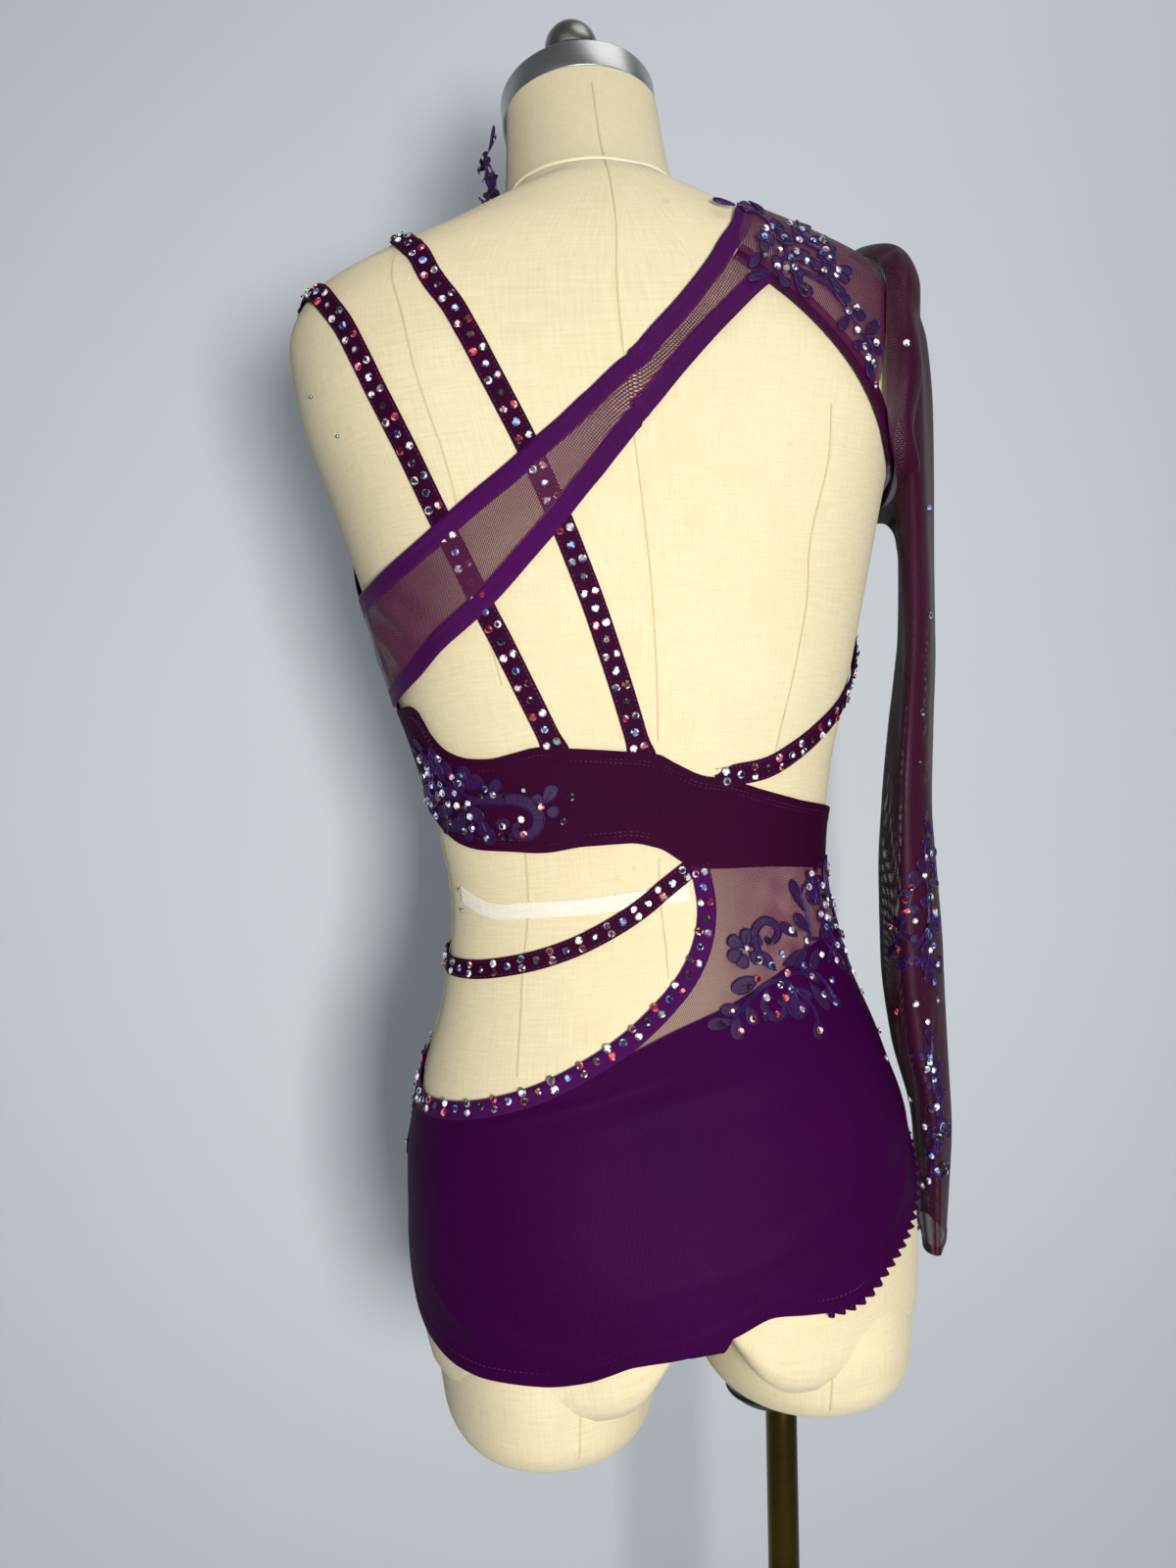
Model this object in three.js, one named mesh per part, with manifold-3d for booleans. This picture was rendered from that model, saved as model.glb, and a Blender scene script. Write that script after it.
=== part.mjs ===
// A one-sleeved contemporary dance costume on a limbless dress form with a pole stand.
// Millimetres, +Z up. The origin is the centre of the base plate's underside; the costume's
// front faces -Y, its back +Y, the wearer's right side and the one sleeve are toward -X.
//
// Cloth lies on the form, so most pieces are drawn on the form's skin: a place on it is an
// angle round the body and a level, an angle of 0 being the centre back, +90 the wearer's
// right side, 180 the centre front and -90 the left side, and a level of 0 the waist.
import * as THREE from 'three';
import { mergeVertices } from 'three/addons/utils/BufferGeometryUtils.js';
import Module from 'manifold-3d';

const wasm = await Module();
wasm.setup();

// ---------------------------------------------------------------- driving dimensions
const WAIST_HEIGHT = 1040;          // waist above the floor
const PIVOT_LEVEL = -300;           // level of the flange that carries the form
const POLE_TO_CENTRE = 66;          // pole axis to the form's centre line
const LEAN = 3.4;                   // degrees the form leans on its pole, top toward +X
const GAP = 0.4;                    // between two pieces at a seam
const CLOTH = { inner: 1.3, outer: 2.4 };        // pieces that lie on the form
const OVER = { inner: 3.1, outer: 4.1 };         // net that passes over the straps
const YOKE = { inner: 3.7, outer: 4.7 };         // net over the round of the shoulder
const OVER_BINDING = { inner: 2.9, outer: 4.4 }; // its bound edges
const BINDING_WIDTH = 10.4;
const STRAP_WIDTH = 12;
const SIDE = 89.95;                 // angle of the side seams, less their gap
const SIDES = { form: 32, thigh: 16, turned: 24, sleeve: 16 };  // facets round each piece
const STEPS = { neckline: 44, sash: 24, armhole: 16, hip: 44, strap: 24, strap_side: 12, strap_waist: 14 };  // facets along each binding
const BUST = { angle: 142, level: 165, depth: 8, turn: 28, rise: 52 };
const STEP = { length: 26, turn: 14 };  // longest step along a strip, and most it turns in one
const THIGH = { x: 77, cleft: 24, cleftWidth: 26 };
const FLANGE = { radius: 35, height: 17 };
const POLE = { radius: 9.5 };
const BASE = { radius: 220, edge: 7, crown: 12, hub: 24, hubHeight: 34 };
const NECK_LEVEL = 477;             // top of the form's neck
const CAP = { radius: 48.5, height: 19, y: -10, slope: 12 };
const KNOB = { radius: 17, height: 55, stem: 9, stemHeight: 31 };

const table = (names, rows) => rows.map((row) =>
  Object.fromEntries(names.split(' ').map((name, i) => [name, row[i]])));

// The form's level sections: half width, depth to the back and front, roundness and slope
const BODY = table('level wide back front power slope', [
  [-310, 137, 94, 83, 2.6, 0], [-250, 147, 110, 86, 2.4, 0], [-200, 151, 116, 88, 2.3, 0],
  [-150, 149, 110, 88, 2.2, 0], [-100, 138, 94, 86, 2.1, 0], [-50, 122, 76, 80, 2.1, 0],
  [0, 114, 69, 76, 2.1, 0], [60, 122, 78, 84, 2.2, 0], [120, 137, 93, 98, 2.4, 0],
  [180, 152, 104, 104, 2.5, 0], [240, 168, 106, 92, 2.6, 0], [290, 182, 103, 82, 2.7, 3],
  [326, 186, 96, 74, 2.6, 7], [346, 179, 91, 70, 2.3, 10], [358, 158, 86, 68, 2.1, 13],
  [369, 125, 80, 68, 2.0, 16], [380, 92, 73, 66, 2.0, 19], [392, 60, 64, 62, 2.0, 21],
  [430, 51, 51, 58, 2.0, 18], [NECK_LEVEL, 47, 38, 58, 2.0, 12],
]);

// The short thighs below the body, without their rounded undersides
const THIGH_ROWS = table('level wide back front', [
  [-170, 50, 80, 62], [-225, 61, 93, 72], [-255, 63, 97, 74], [-275, 62, 93, 72],
]);

// Sections of the sleeve as it hangs: its outer and inner edges, half its depth front to back,
// how far its back half swings in behind the arm, and how far it has left the shoulder, 0 on
// it and 1 hanging free
const SLEEVE = table('outX outZ inX inZ depth swing free', [
  [-150, 384, -146, 236, 64, 0, 0], [-150, 384, -147, 232, 64, 0.1, 0.22], [-162, 370, -149, 224, 64, 0.22, 0.7],
  [-172, 334, -150, 212, 63, 0.4, 1], [-176, 292, -151, 198, 62, 0.42, 1], [-177, 246, -151, 178, 61, 0.42, 1],
  [-177, 198, -151, 152, 60, 0.42, 1], [-177, 150, -149, 124, 59, 0.42, 1], [-175, 100, -145, 92, 57, 0.42, 1],
  [-174, 50, -140, 48, 55, 0.42, 1], [-176, 0, -137, 0, 52, 0.42, 1], [-178, -50, -137, -50, 50, 0.42, 1],
  [-178, -98, -141, -98, 46, 0.38, 1], [-178, -146, -152, -146, 42, 0.34, 1],
  [-175, -188, -155, -188, 39, 0.3, 1], [-172, -226, -157, -226, 37, 0.3, 1],
]);
const SLEEVE_WALL = 1.2;
const SLEEVE_SEAM = { angle: 90, level: 294, turn: 42, rise: 68, lift: 7.2, puff: 12 };

// Drag folds of the trunk: a ridge from one place on the skin to another
const FOLDS = table('fromAngle fromLevel toAngle toLevel height width', [
  [70, -70, -30, -124, 1.6, 7], [60, -96, -10, -112, 1.2, 6], [72, -130, 6, -190, 1.8, 8],
  [60, -170, 10, -214, 1.4, 8], [30, -128, -60, -196, 1.0, 10], [-62, -208, -20, -236, 1.6, 6],
  [110, -80, 190, -150, 1.5, 8], [120, -150, 200, -200, 1.3, 8], [240, -100, 170, -180, 1.2, 9],
]);

// ---------------------------------------------------------------- curves and surfaces
const degrees = THREE.MathUtils.degToRad;
const power = (value, exponent) => Math.sign(value) * Math.abs(value) ** exponent;
const mix = (a, b, t) => a + (b - a) * t;

// A smooth curve through points, with no swing past them
function steady(points) {
  const x = points.map((p) => p[0]);
  const y = points.map((p) => p[1]);
  const rise = x.slice(1).map((v, i) => (y[i + 1] - y[i]) / (v - x[i]));
  const slope = x.map((_, i) => {
    if (i === 0) return rise[0];
    if (i === x.length - 1) return rise[i - 1];
    if (rise[i - 1] * rise[i] <= 0) return 0;
    const before = x[i] - x[i - 1];
    const after = x[i + 1] - x[i];
    const near = 2 * after + before;
    const far = after + 2 * before;
    return (near + far) / (near / rise[i - 1] + far / rise[i]);
  });
  return (value) => {
    const v = Math.min(Math.max(value, x[0]), x[x.length - 1]);
    let i = 0;
    while (i < x.length - 2 && v > x[i + 1]) i++;
    const h = x[i + 1] - x[i];
    const t = (v - x[i]) / h;
    return (1 + 2 * t) * (1 - t) ** 2 * y[i] + t * (1 - t) ** 2 * h * slope[i]
      + t * t * (3 - 2 * t) * y[i + 1] + t * t * (t - 1) * h * slope[i + 1];
  };
}

const column = (rows, key, name) => steady(rows.map((row, i) => [key ? row[key] : i, row[name]]));
const body = Object.fromEntries(['wide', 'back', 'front', 'power', 'slope']
  .map((name) => [name, column(BODY, 'level', name)]));

function bodyPoint(angle, level) {
  const s = Math.sin(degrees(angle));
  const c = Math.cos(degrees(angle));
  const e = 2 / body.power(level);
  const off = Math.abs(THREE.MathUtils.euclideanModulo(angle + 180, 360) - 180) - BUST.angle;
  const bust = c < 0 ? BUST.depth * Math.min(1, -2 * c)
    * Math.exp(-((off / BUST.turn) ** 2) - ((level - BUST.level) / BUST.rise) ** 2) : 0;
  const y = (c > 0 ? body.back(level) : body.front(level)) * power(c, e) - bust;
  return new THREE.Vector3(POLE_TO_CENTRE - body.wide(level) * power(s, e), y,
    level - PIVOT_LEVEL + Math.tan(degrees(body.slope(level))) * y);
}

// Any surface of two parameters, with a point lifted off it along its outward normal
function lifted(point, stepA, stepB, sense) {
  return (a, b, lift) => {
    const p = point(a, b);
    const alongA = point(a + stepA, b).sub(point(a - stepA, b));
    const alongB = point(a, b + stepB).sub(point(a, b - stepB));
    return p.addScaledVector(alongA.cross(alongB).normalize(), sense * lift);
  };
}
const onForm = lifted(bodyPoint, 0.5, 1, 1);

function ridge(angle, level) {
  let height = 0;
  for (const f of FOLDS) {
    const run = new THREE.Vector2((f.toAngle - f.fromAngle) * 2.2, f.toLevel - f.fromLevel);
    const at = new THREE.Vector2((angle - f.fromAngle) * 2.2, level - f.fromLevel);
    const t = at.dot(run) / run.lengthSq();
    if (t < 0 || t > 1) continue;
    const away = at.addScaledVector(run, -t).length();
    height += f.height * Math.sin(Math.PI * t) * Math.exp(-((away / f.width) ** 2));
  }
  return height;
}
const onFolds = (angle, level, lift) =>
  onForm(angle, level, lift + ridge(THREE.MathUtils.euclideanModulo(angle + 90, 360) - 90, level));

// The sleeve hangs plumb while the form leans, so its seam is turned out of the form's frame
const formFrame = new THREE.Group();
formFrame.position.set(0, 0, WAIST_HEIGHT + PIVOT_LEVEL);
formFrame.rotation.y = degrees(LEAN);
formFrame.updateMatrixWorld();

const sleeve = Object.fromEntries(['outX', 'outZ', 'inX', 'inZ', 'depth', 'swing', 'free']
  .map((name) => [name, column(SLEEVE, '', name)]));

function sleevePoint(turn, row) {
  const c = Math.cos(degrees(turn));
  const s = Math.sin(degrees(turn));
  const free = sleeve.free(row);
  const flute = 1.6 * Math.sin(degrees(3 * turn) + row * 0.5) * Math.min(1, row / 4);
  const y = sleeve.depth(row) * power(s, 0.9);
  const hang = new THREE.Vector3(
    (sleeve.outX(row) + sleeve.inX(row)) / 2 + (sleeve.outX(row) - sleeve.inX(row)) / 2 * c
      + POLE_TO_CENTRE - flute * c + sleeve.swing(row) * y,
    y,
    (sleeve.outZ(row) + sleeve.inZ(row)) / 2 + (sleeve.outZ(row) - sleeve.inZ(row)) / 2 * c + WAIST_HEIGHT);
  if (free >= 1) return hang;
  const seam = onForm(SLEEVE_SEAM.angle - SLEEVE_SEAM.turn * power(s, 0.8),
    SLEEVE_SEAM.level + SLEEVE_SEAM.rise * power(c, 0.8),
    SLEEVE_SEAM.lift + SLEEVE_SEAM.puff * Math.min(row, 2)).applyMatrix4(formFrame.matrixWorld);
  return seam.lerp(hang, free);
}
const onSleeve = lifted(sleevePoint, 1, 0.05, 1);

// ---------------------------------------------------------------- solid builders
function solid(positions, faces) {
  const geometry = new THREE.BufferGeometry();
  geometry.setAttribute('position', new THREE.Float32BufferAttribute(positions, 3));
  let volume = 0;
  const corner = [0, 1, 2].map(() => new THREE.Vector3());
  for (let i = 0; i < faces.length; i += 3) {
    corner.forEach((v, k) => v.fromArray(positions, 3 * faces[i + k]));
    volume += corner[0].dot(corner[1].clone().cross(corner[2]));
  }
  geometry.setIndex(volume < 0 ? faces.reverse() : faces);
  geometry.computeVertexNormals();
  return geometry;
}

// A thin wall over a patch of a surface, between an inner and an outer lift
function wall(surface, place, columns, rows, inner, outer) {
  const positions = [];
  const faces = [];
  const id = (side, i, j) => (side * (columns + 1) + i) * (rows + 1) + j;
  const quad = (a, b, c, d) => faces.push(a, b, c, a, c, d);
  for (const lift of [inner, outer]) {
    for (let i = 0; i <= columns; i++) {
      for (let j = 0; j <= rows; j++) {
        const [a, b] = place(i / columns, j / rows);
        positions.push(...surface(a, b, lift).toArray());
      }
    }
  }
  for (let i = 0; i < columns; i++) {
    for (let j = 0; j < rows; j++) {
      quad(id(1, i, j), id(1, i + 1, j), id(1, i + 1, j + 1), id(1, i, j + 1));
      quad(id(0, i, j), id(0, i, j + 1), id(0, i + 1, j + 1), id(0, i + 1, j));
    }
    quad(id(0, i, 0), id(0, i + 1, 0), id(1, i + 1, 0), id(1, i, 0));
    quad(id(0, i + 1, rows), id(0, i, rows), id(1, i, rows), id(1, i + 1, rows));
  }
  for (let j = 0; j < rows; j++) {
    quad(id(0, 0, j + 1), id(0, 0, j), id(1, 0, j), id(1, 0, j + 1));
    quad(id(0, columns, j), id(0, columns, j + 1), id(1, columns, j + 1), id(1, columns, j));
  }
  return solid(positions, faces);
}

// A body through closed loops of equal count, its ends closed with flat fans
function loft(loops) {
  const count = loops[0].length;
  const positions = loops.flat().flatMap((p) => p.toArray());
  const faces = [];
  for (let k = 0; k + 1 < loops.length; k++) {
    for (let i = 0; i < count; i++) {
      const a = k * count + i;
      const b = k * count + (i + 1) % count;
      faces.push(a, b, b + count, a, b + count, a + count);
    }
  }
  for (const [k, turn] of [[0, 1], [loops.length - 1, 0]]) {
    const centre = positions.length / 3;
    const middle = loops[k].reduce((sum, p) => sum.add(p), new THREE.Vector3()).divideScalar(count);
    positions.push(...middle.toArray());
    for (let i = 0; i < count; i++) {
      const a = k * count + i;
      const b = k * count + (i + 1) % count;
      faces.push(...(turn ? [b, a, centre] : [a, b, centre]));
    }
  }
  return solid(positions, faces);
}

function toManifold(geometry) {
  const bare = geometry.clone();
  bare.deleteAttribute('normal');
  bare.deleteAttribute('uv');
  const merged = mergeVertices(bare, 1e-4);
  return new wasm.Manifold(new wasm.Mesh({
    numProp: 3,
    vertProperties: new Float32Array(merged.attributes.position.array),
    triVerts: new Uint32Array(merged.index.array),
  }));
}

function fromManifold(shape) {
  const mesh = shape.getMesh();
  return solid(Array.from(mesh.vertProperties), Array.from(mesh.triVerts));
}

const joined = (geometries) =>
  fromManifold(geometries.map(toManifold).reduce((sum, piece) => sum.add(piece)));
// A panel less its bound edges, without the slivers left past them
function trimmed(geometry, cutters) {
  const left = cutters.map(toManifold).reduce((rest, cutter) => rest.subtract(cutter), toManifold(geometry));
  return fromManifold(left.decompose().sort((a, b) => b.volume() - a.volume())[0]);
}

// The step in a surface's two parameters that moves a point by a length in a direction
function stepOn(surface, a, b, direction) {
  const p = surface(a, b, 0);
  const alongA = surface(a + 0.2, b, 0).sub(p).divideScalar(0.2);
  const alongB = surface(a, b + 0.02, 0).sub(p).divideScalar(0.02);
  const aa = alongA.dot(alongA);
  const ab = alongA.dot(alongB);
  const bb = alongB.dot(alongB);
  const along = alongA.dot(direction);
  const up = alongB.dot(direction);
  const whole = aa * bb - ab * ab;
  return [a + (along * bb - up * ab) / whole, b + (up * aa - along * ab) / whole];
}

// A path on a surface, with the place a given distance to its side
function path(surface, points) {
  const spline = new THREE.SplineCurve(points.map(([a, b]) => new THREE.Vector2(a, b)));
  const frame = (t) => {
    const p = spline.getPoint(t);
    const ahead = spline.getPoint(Math.min(1, t + 0.004));
    const behind = spline.getPoint(Math.max(0, t - 0.004));
    const run = surface(ahead.x, ahead.y, 0).sub(surface(behind.x, behind.y, 0)).normalize();
    const out = surface(p.x, p.y, 1).sub(surface(p.x, p.y, 0)).normalize();
    return { p, run, out, side: out.clone().cross(run).normalize() };
  };
  // Even steps by length and by how far the surface turns, so a strip keeps to tight curves
  const samples = 240;
  const reached = [0];
  for (let i = 1; i <= samples; i++) {
    const [before, after] = [frame((i - 1) / samples), frame(i / samples)];
    const length = surface(after.p.x, after.p.y, 0).distanceTo(surface(before.p.x, before.p.y, 0));
    reached.push(reached[i - 1] + length / STEP.length
      + THREE.MathUtils.radToDeg(after.out.angleTo(before.out)) / STEP.turn);
  }
  const even = steady(reached.map((sum, i) => [sum / reached[samples], i / samples]));
  return {
    surface,
    frame,
    even,
    at: (t) => spline.getPoint(t).toArray(),
    beside(t, distance) {
      const { p, side } = frame(t);
      return stepOn(surface, p.x, p.y, side.multiplyScalar(distance));
    },
  };
}

const strip = (route, width, steps, { inner, outer }) => wall(route.surface,
  (u, v) => route.beside(route.even(u), (v - 0.5) * width), steps, 1, inner, outer);
// What a bound edge takes out of the panels beside it
const channel = (route, width, steps) =>
  strip(route, width + 3 * GAP, steps, { inner: -2, outer: 9 });

const panel = (surface, { from, to, bottom, top, columns, rows }, lift) => wall(surface, (u, v) => {
  const angle = mix(from, to, u);
  return [angle, mix(bottom(angle), top(angle), v)];
}, columns, rows, lift.inner, lift.outer);

// A panel between two edges, its rows closer toward the upper one as the ease rises
const between = (surface, lower, upper, columns, rows, lift, ease = 1) => wall(surface, (u, v) => {
  const a = lower.at(u);
  const b = upper.at(u);
  const w = 1 - (1 - v) ** ease;
  return [mix(a[0], b[0], w), mix(a[1], b[1], w)];
}, columns, rows, lift.inner, lift.outer);

// One leaf or petal of corded lace, its base on a place of the surface
function leaf(surface, base, heading, long, broad, { inner, outer }) {
  const points = 7;
  const out = surface(...base, 1).sub(surface(...base, 0)).normalize();
  const aside = out.clone().cross(heading);
  const place = (t, spread) => stepOn(surface, ...base,
    heading.clone().multiplyScalar(long * (0.5 - 0.58 * Math.cos(t) * spread))
      .addScaledVector(aside, broad / 2 * power(Math.sin(t), 1.15) * spread));
  return loft([[inner, 1], [outer - 0.3, 1], [outer, 0.45]].map(([lift, spread]) =>
    Array.from({ length: points }, (_, i) => surface(...place(2 * Math.PI * i / points, spread), lift))));
}

// A spray of corded lace: stems with leaves set along them at t, turned from the stem
function spray(surface, stems, lift, stemWidth = 3) {
  const pieces = [];
  for (const { points, leaves, steps } of stems) {
    const route = path(surface, points);
    pieces.push(strip(route, stemWidth, steps ?? 8, lift));
    for (const [t, turn, long, broad] of leaves) {
      const { p, run } = route.frame(t);
      const out = surface(p.x, p.y, 1).sub(surface(p.x, p.y, 0)).normalize();
      pieces.push(leaf(surface, [p.x, p.y], run.clone().applyAxisAngle(out, degrees(turn)), long, broad, lift));
    }
  }
  return joined(pieces);
}

// ---------------------------------------------------------------- the dress form
const around = (count) => Array.from({ length: count }, (_, i) => 360 * i / count);

function cleft(p, level) {
  const depth = THREE.MathUtils.smoothstep(-level, 205, 246);
  p.z += THIGH.cleft * depth * Math.exp(-(((p.x - POLE_TO_CENTRE) / THIGH.cleftWidth) ** 2));
  return p;
}

function torso() {
  const levels = [NECK_LEVEL, 450, 430, 412, 400, 392, 386, 379, 372, 365, 358, 351, 344, 336, 326, 310, 290,
    266, 240, 216, 194, 172, 150, 128, 106, 84, 60, 30, 0, -30, -60, -95, -130, -165, -200, -225, -246];
  const loops = levels.map((level) => around(SIDES.form).map((angle) => cleft(onForm(angle, level, -0.5), level)));
  for (const [drop, shrink] of [[10, 0.985], [18, 0.955], [25, 0.9], [29, 0.8], [31, 0.5],
    [31, 0.25], [31, 0.08]]) {
    loops.push(around(SIDES.form).map((angle) => {
      const p = bodyPoint(angle, -246);
      const aside = mix(POLE_TO_CENTRE, p.x, shrink) - POLE_TO_CENTRE;
      const fall = drop * (1 - Math.exp(-((aside / THIGH.cleftWidth) ** 2)));
      return cleft(new THREE.Vector3(POLE_TO_CENTRE + aside, p.y * shrink, p.z - fall), -246);
    }));
  }
  return loft(loops);
}

function thigh(side, bottom) {
  const centre = POLE_TO_CENTRE + side * THIGH.x;
  const ring = (row, level, shrink) => around(SIDES.thigh).map((angle) => {
    const s = Math.sin(degrees(angle));
    const c = Math.cos(degrees(angle));
    return new THREE.Vector3(centre + row.wide * shrink * power(s, 0.93),
      (c > 0 ? row.back : row.front) * shrink * power(c, 0.93), level - PIVOT_LEVEL);
  });
  const last = THIGH_ROWS[THIGH_ROWS.length - 1];
  return loft([
    ...THIGH_ROWS.map((row) => ring(row, row.level, 1)),
    ...[[20, 0.98], [9, 0.91], [2, 0.77], [0, 0.6]].map(([above, shrink]) =>
      ring(last, bottom + above, shrink)),
  ]);
}

// A turned piece about the Z axis, its outline given as radius and height
const turned = (outline, segments) =>
  new THREE.LatheGeometry(outline.map(([r, z]) => new THREE.Vector2(r, z)), segments).rotateX(Math.PI / 2);

// ---------------------------------------------------------------- edges of the costume
const sashUpperEdge = [[-89, 178], [-67, 180], [-43.4, 194.9], [-22.3, 222], [-10.2, 245.8], [-4.7, 260.2],
  [-2.4, 267.8], [-0.3, 277.5], [2.8, 296.8], [11.8, 330], [18.5, 345], [27, 358], [40, 368], [60, 377],
  [90, 384], [122, 384], [150, 378], [180, 370], [208, 376], [228, 384]];
const edgeShare = (index) => index / (sashUpperEdge.length - 1);  // where a listed point lies on it
const SASH_END = edgeShare(9);      // the diagonal band's top corner
const sashLowerEdge = [[-89, 124], [-78, 125], [-60, 134], [-47.1, 146.7], [-34.6, 160], [-24.9, 175],
  [-13.9, 199.5], [-6.2, 223.5], [-2.9, 237.1], [-1.2, 245.9], [-0.2, 253.1], [0.7, 261.2], [3.5, 276.8],
  [8.2, 295.4], [14.7, 313.8], [19, 323]];
const armholeEdge = [[15.5, 334], [19.5, 324], [25.6, 311], [32, 297.7], [38.7, 284.6], [46, 271], [53.6, 258], [62, 245],
  [75, 234], [88, 226]];
const outer = path(onForm, sashUpperEdge);
const lower = path(onForm, sashLowerEdge);
const armhole = path(onForm, armholeEdge);
const hipEdge = path(onFolds, [[11, 10.5], [12, -4], [11.3, -18], [9.1, -31], [5.6, -43.5], [1, -55.5],
  [-4.7, -67.4], [-11.3, -78.4], [-18.8, -88], [-27, -96.6], [-34, -102.3], [-42.6, -107], [-51.7, -110.3],
  [-62, -112], [-74, -112],
  [-86, -108], [-98, -97], [-109, -78], [-117, -56], [-122, -30], [-124, -6], [-125, 14]]);

const bandTop = steady([[-90, 117], [-70, 116], [-65, 112], [-62, 99], [-57, 89], [-48, 83], [-41, 82],
  [-33, 84], [-26, 86], [-18, 84], [-5, 80], [0, 78], [4, 72], [11, 64], [16, 62], [29, 54], [37, 50],
  [47, 46], [66, 42], [90, 38]]);
const bandBottom = steady([[-90, 58], [-80, 52], [-72, 44], [-63, 36], [-54, 32], [-42, 30], [-30, 28],
  [-18, 30], [-7, 30], [0, 26], [4, 20], [6.5, 16], [13.5, 12], [31, 10], [66, 4], [90, 0]]);
const trunkTop = steady([[-90, -106], [-74, -112], [-62, -112], [-52, -109], [-43, -104], [-34, -100],
  [-28, -97], [-19, -92], [-9, -82], [2, -72], [13.5, -64], [28.5, -52], [48, -38], [77.5, -32], [90, -30]]);
const hipMeshTop = steady([[-18.8, -88], [-11.3, -78.4], [-4.7, -67.4], [1, -55.5], [5.6, -43.5], [9.1, -31],
  [11.3, -18], [11.8, 8], [13.5, 11.2], [31, 9.2], [66, 3.2], [90, -0.8]]);
const backHem = steady([[-90, -196], [-85, -212], [-79, -226], [-67, -238], [-56, -244], [-46, -246],
  [-32, -246], [-21, -243], [-17, -240], [-12, -236], [-3, -234], [3.5, -226], [10.5, -219], [16.5, -221],
  [23.5, -223], [32, -221], [38.5, -212], [45.5, -204], [60, -188], [75, -168], [90, -148]]);
const frontHem = steady([[90, -148], [105, -138], [122, -142], [140, -164], [155, -196], [168, -226],
  [174, -238], [186, -238], [192, -228], [208, -204], [225, -186], [245, -180], [260, -186], [270, -196]]);
const bodiceTop = steady([[90, 222], [105, 240], [124, 262], [142, 250], [162, 226], [180, 214], [198, 228],
  [215, 250], [232, 262], [248, 238], [260, 206], [270, 188]]);
const waistSeam = steady([[90, 0], [180, -4], [222, 0], [233, 14], [240, 26], [255, 46], [270, 58]]);
const cutOutFront = steady([[234, 15.5], [236.5, 8], [240, -40], [246, -66], [254, -84], [262, -97],
  [270, -106]]);
const trunkFrontTop = (angle) => (angle < 234 ? waistSeam(angle) : cutOutFront(angle)) - GAP;

// ---------------------------------------------------------------- assembly
const MATERIALS = {
  linen: { color: 0xe3d6b2, roughness: 0.85, metalness: 0 },
  steel: { color: 0xb9bcc0, roughness: 0.3, metalness: 1 },
  brass: { color: 0x8f7434, roughness: 0.3, metalness: 1 },
  dark: { color: 0x1e2420, roughness: 0.4, metalness: 0.6 },
  spandex: { color: 0x45105a, roughness: 0.55, metalness: 0 },
  plum: { color: 0x431040, roughness: 0.6, metalness: 0 },
  satin: { color: 0x541a70, roughness: 0.4, metalness: 0 },
  net: { color: 0x6b3350, roughness: 0.8, metalness: 0 },
  lace: { color: 0x2a2350, roughness: 0.6, metalness: 0 },
};
const group = new THREE.Group();
group.add(formFrame);

function add(name, geometry, material, parent = formFrame) {
  const mesh = new THREE.Mesh(geometry, new THREE.MeshStandardMaterial(MATERIALS[material]));
  mesh.name = name;
  parent.add(mesh);
  return mesh;
}

// Stand and form
const flangeFoot = -298 - PIVOT_LEVEL - 0.3 - FLANGE.height;   // below the right thigh, in its frame
const poleTop = WAIST_HEIGHT + PIVOT_LEVEL + flangeFoot - POLE.radius * Math.sin(degrees(LEAN)) - 0.3;
add('base_plate', turned([[0, 0], [BASE.radius, 0], [BASE.radius, BASE.edge], [BASE.radius - 5, BASE.edge + 3],
  [BASE.hub, BASE.crown + 2], [BASE.hub - 5, BASE.hubHeight], [POLE.radius + 0.3, BASE.hubHeight],
  [POLE.radius + 0.3, BASE.crown - 2], [0, BASE.crown - 2]], SIDES.turned),
'dark', group);
const pole = add('pole', new THREE.CylinderGeometry(POLE.radius, POLE.radius,
  poleTop - BASE.crown + 1.7, 16).rotateX(Math.PI / 2), 'brass', group);
pole.position.z = (poleTop + BASE.crown - 1.7) / 2;
const flange = add('thigh_flange', turned([[0, 0], [FLANGE.radius - 8, 0], [FLANGE.radius - 2, 3],
  [FLANGE.radius, FLANGE.height], [0, FLANGE.height]], SIDES.turned), 'dark');
flange.position.z = flangeFoot;
add('form_body', joined([torso(), thigh(-1, -298), thigh(1, -306)]), 'linen');
const neck = new THREE.Group();
neck.position.set(POLE_TO_CENTRE, CAP.y, NECK_LEVEL - PIVOT_LEVEL + Math.tan(degrees(CAP.slope)) * CAP.y + 0.35);
neck.rotation.x = degrees(CAP.slope);
formFrame.add(neck);
add('neck_cap', turned([[0, 0], [CAP.radius, 0], [CAP.radius, CAP.height - 1.5],
  [CAP.radius - 1.5, CAP.height], [0, CAP.height]], SIDES.turned), 'steel', neck);
const knob = add('neck_knob', turned([[0, 0], [KNOB.stem, 0], [KNOB.stem, KNOB.stemHeight],
  [KNOB.radius - 1, KNOB.stemHeight + 2], [KNOB.radius, KNOB.stemHeight + 8],
  [KNOB.radius * 0.8, KNOB.height - 5], [KNOB.radius * 0.42, KNOB.height - 1], [0, KNOB.height]], 16),
'steel', neck);
knob.position.set(0, 0, CAP.height + 0.3);

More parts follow.
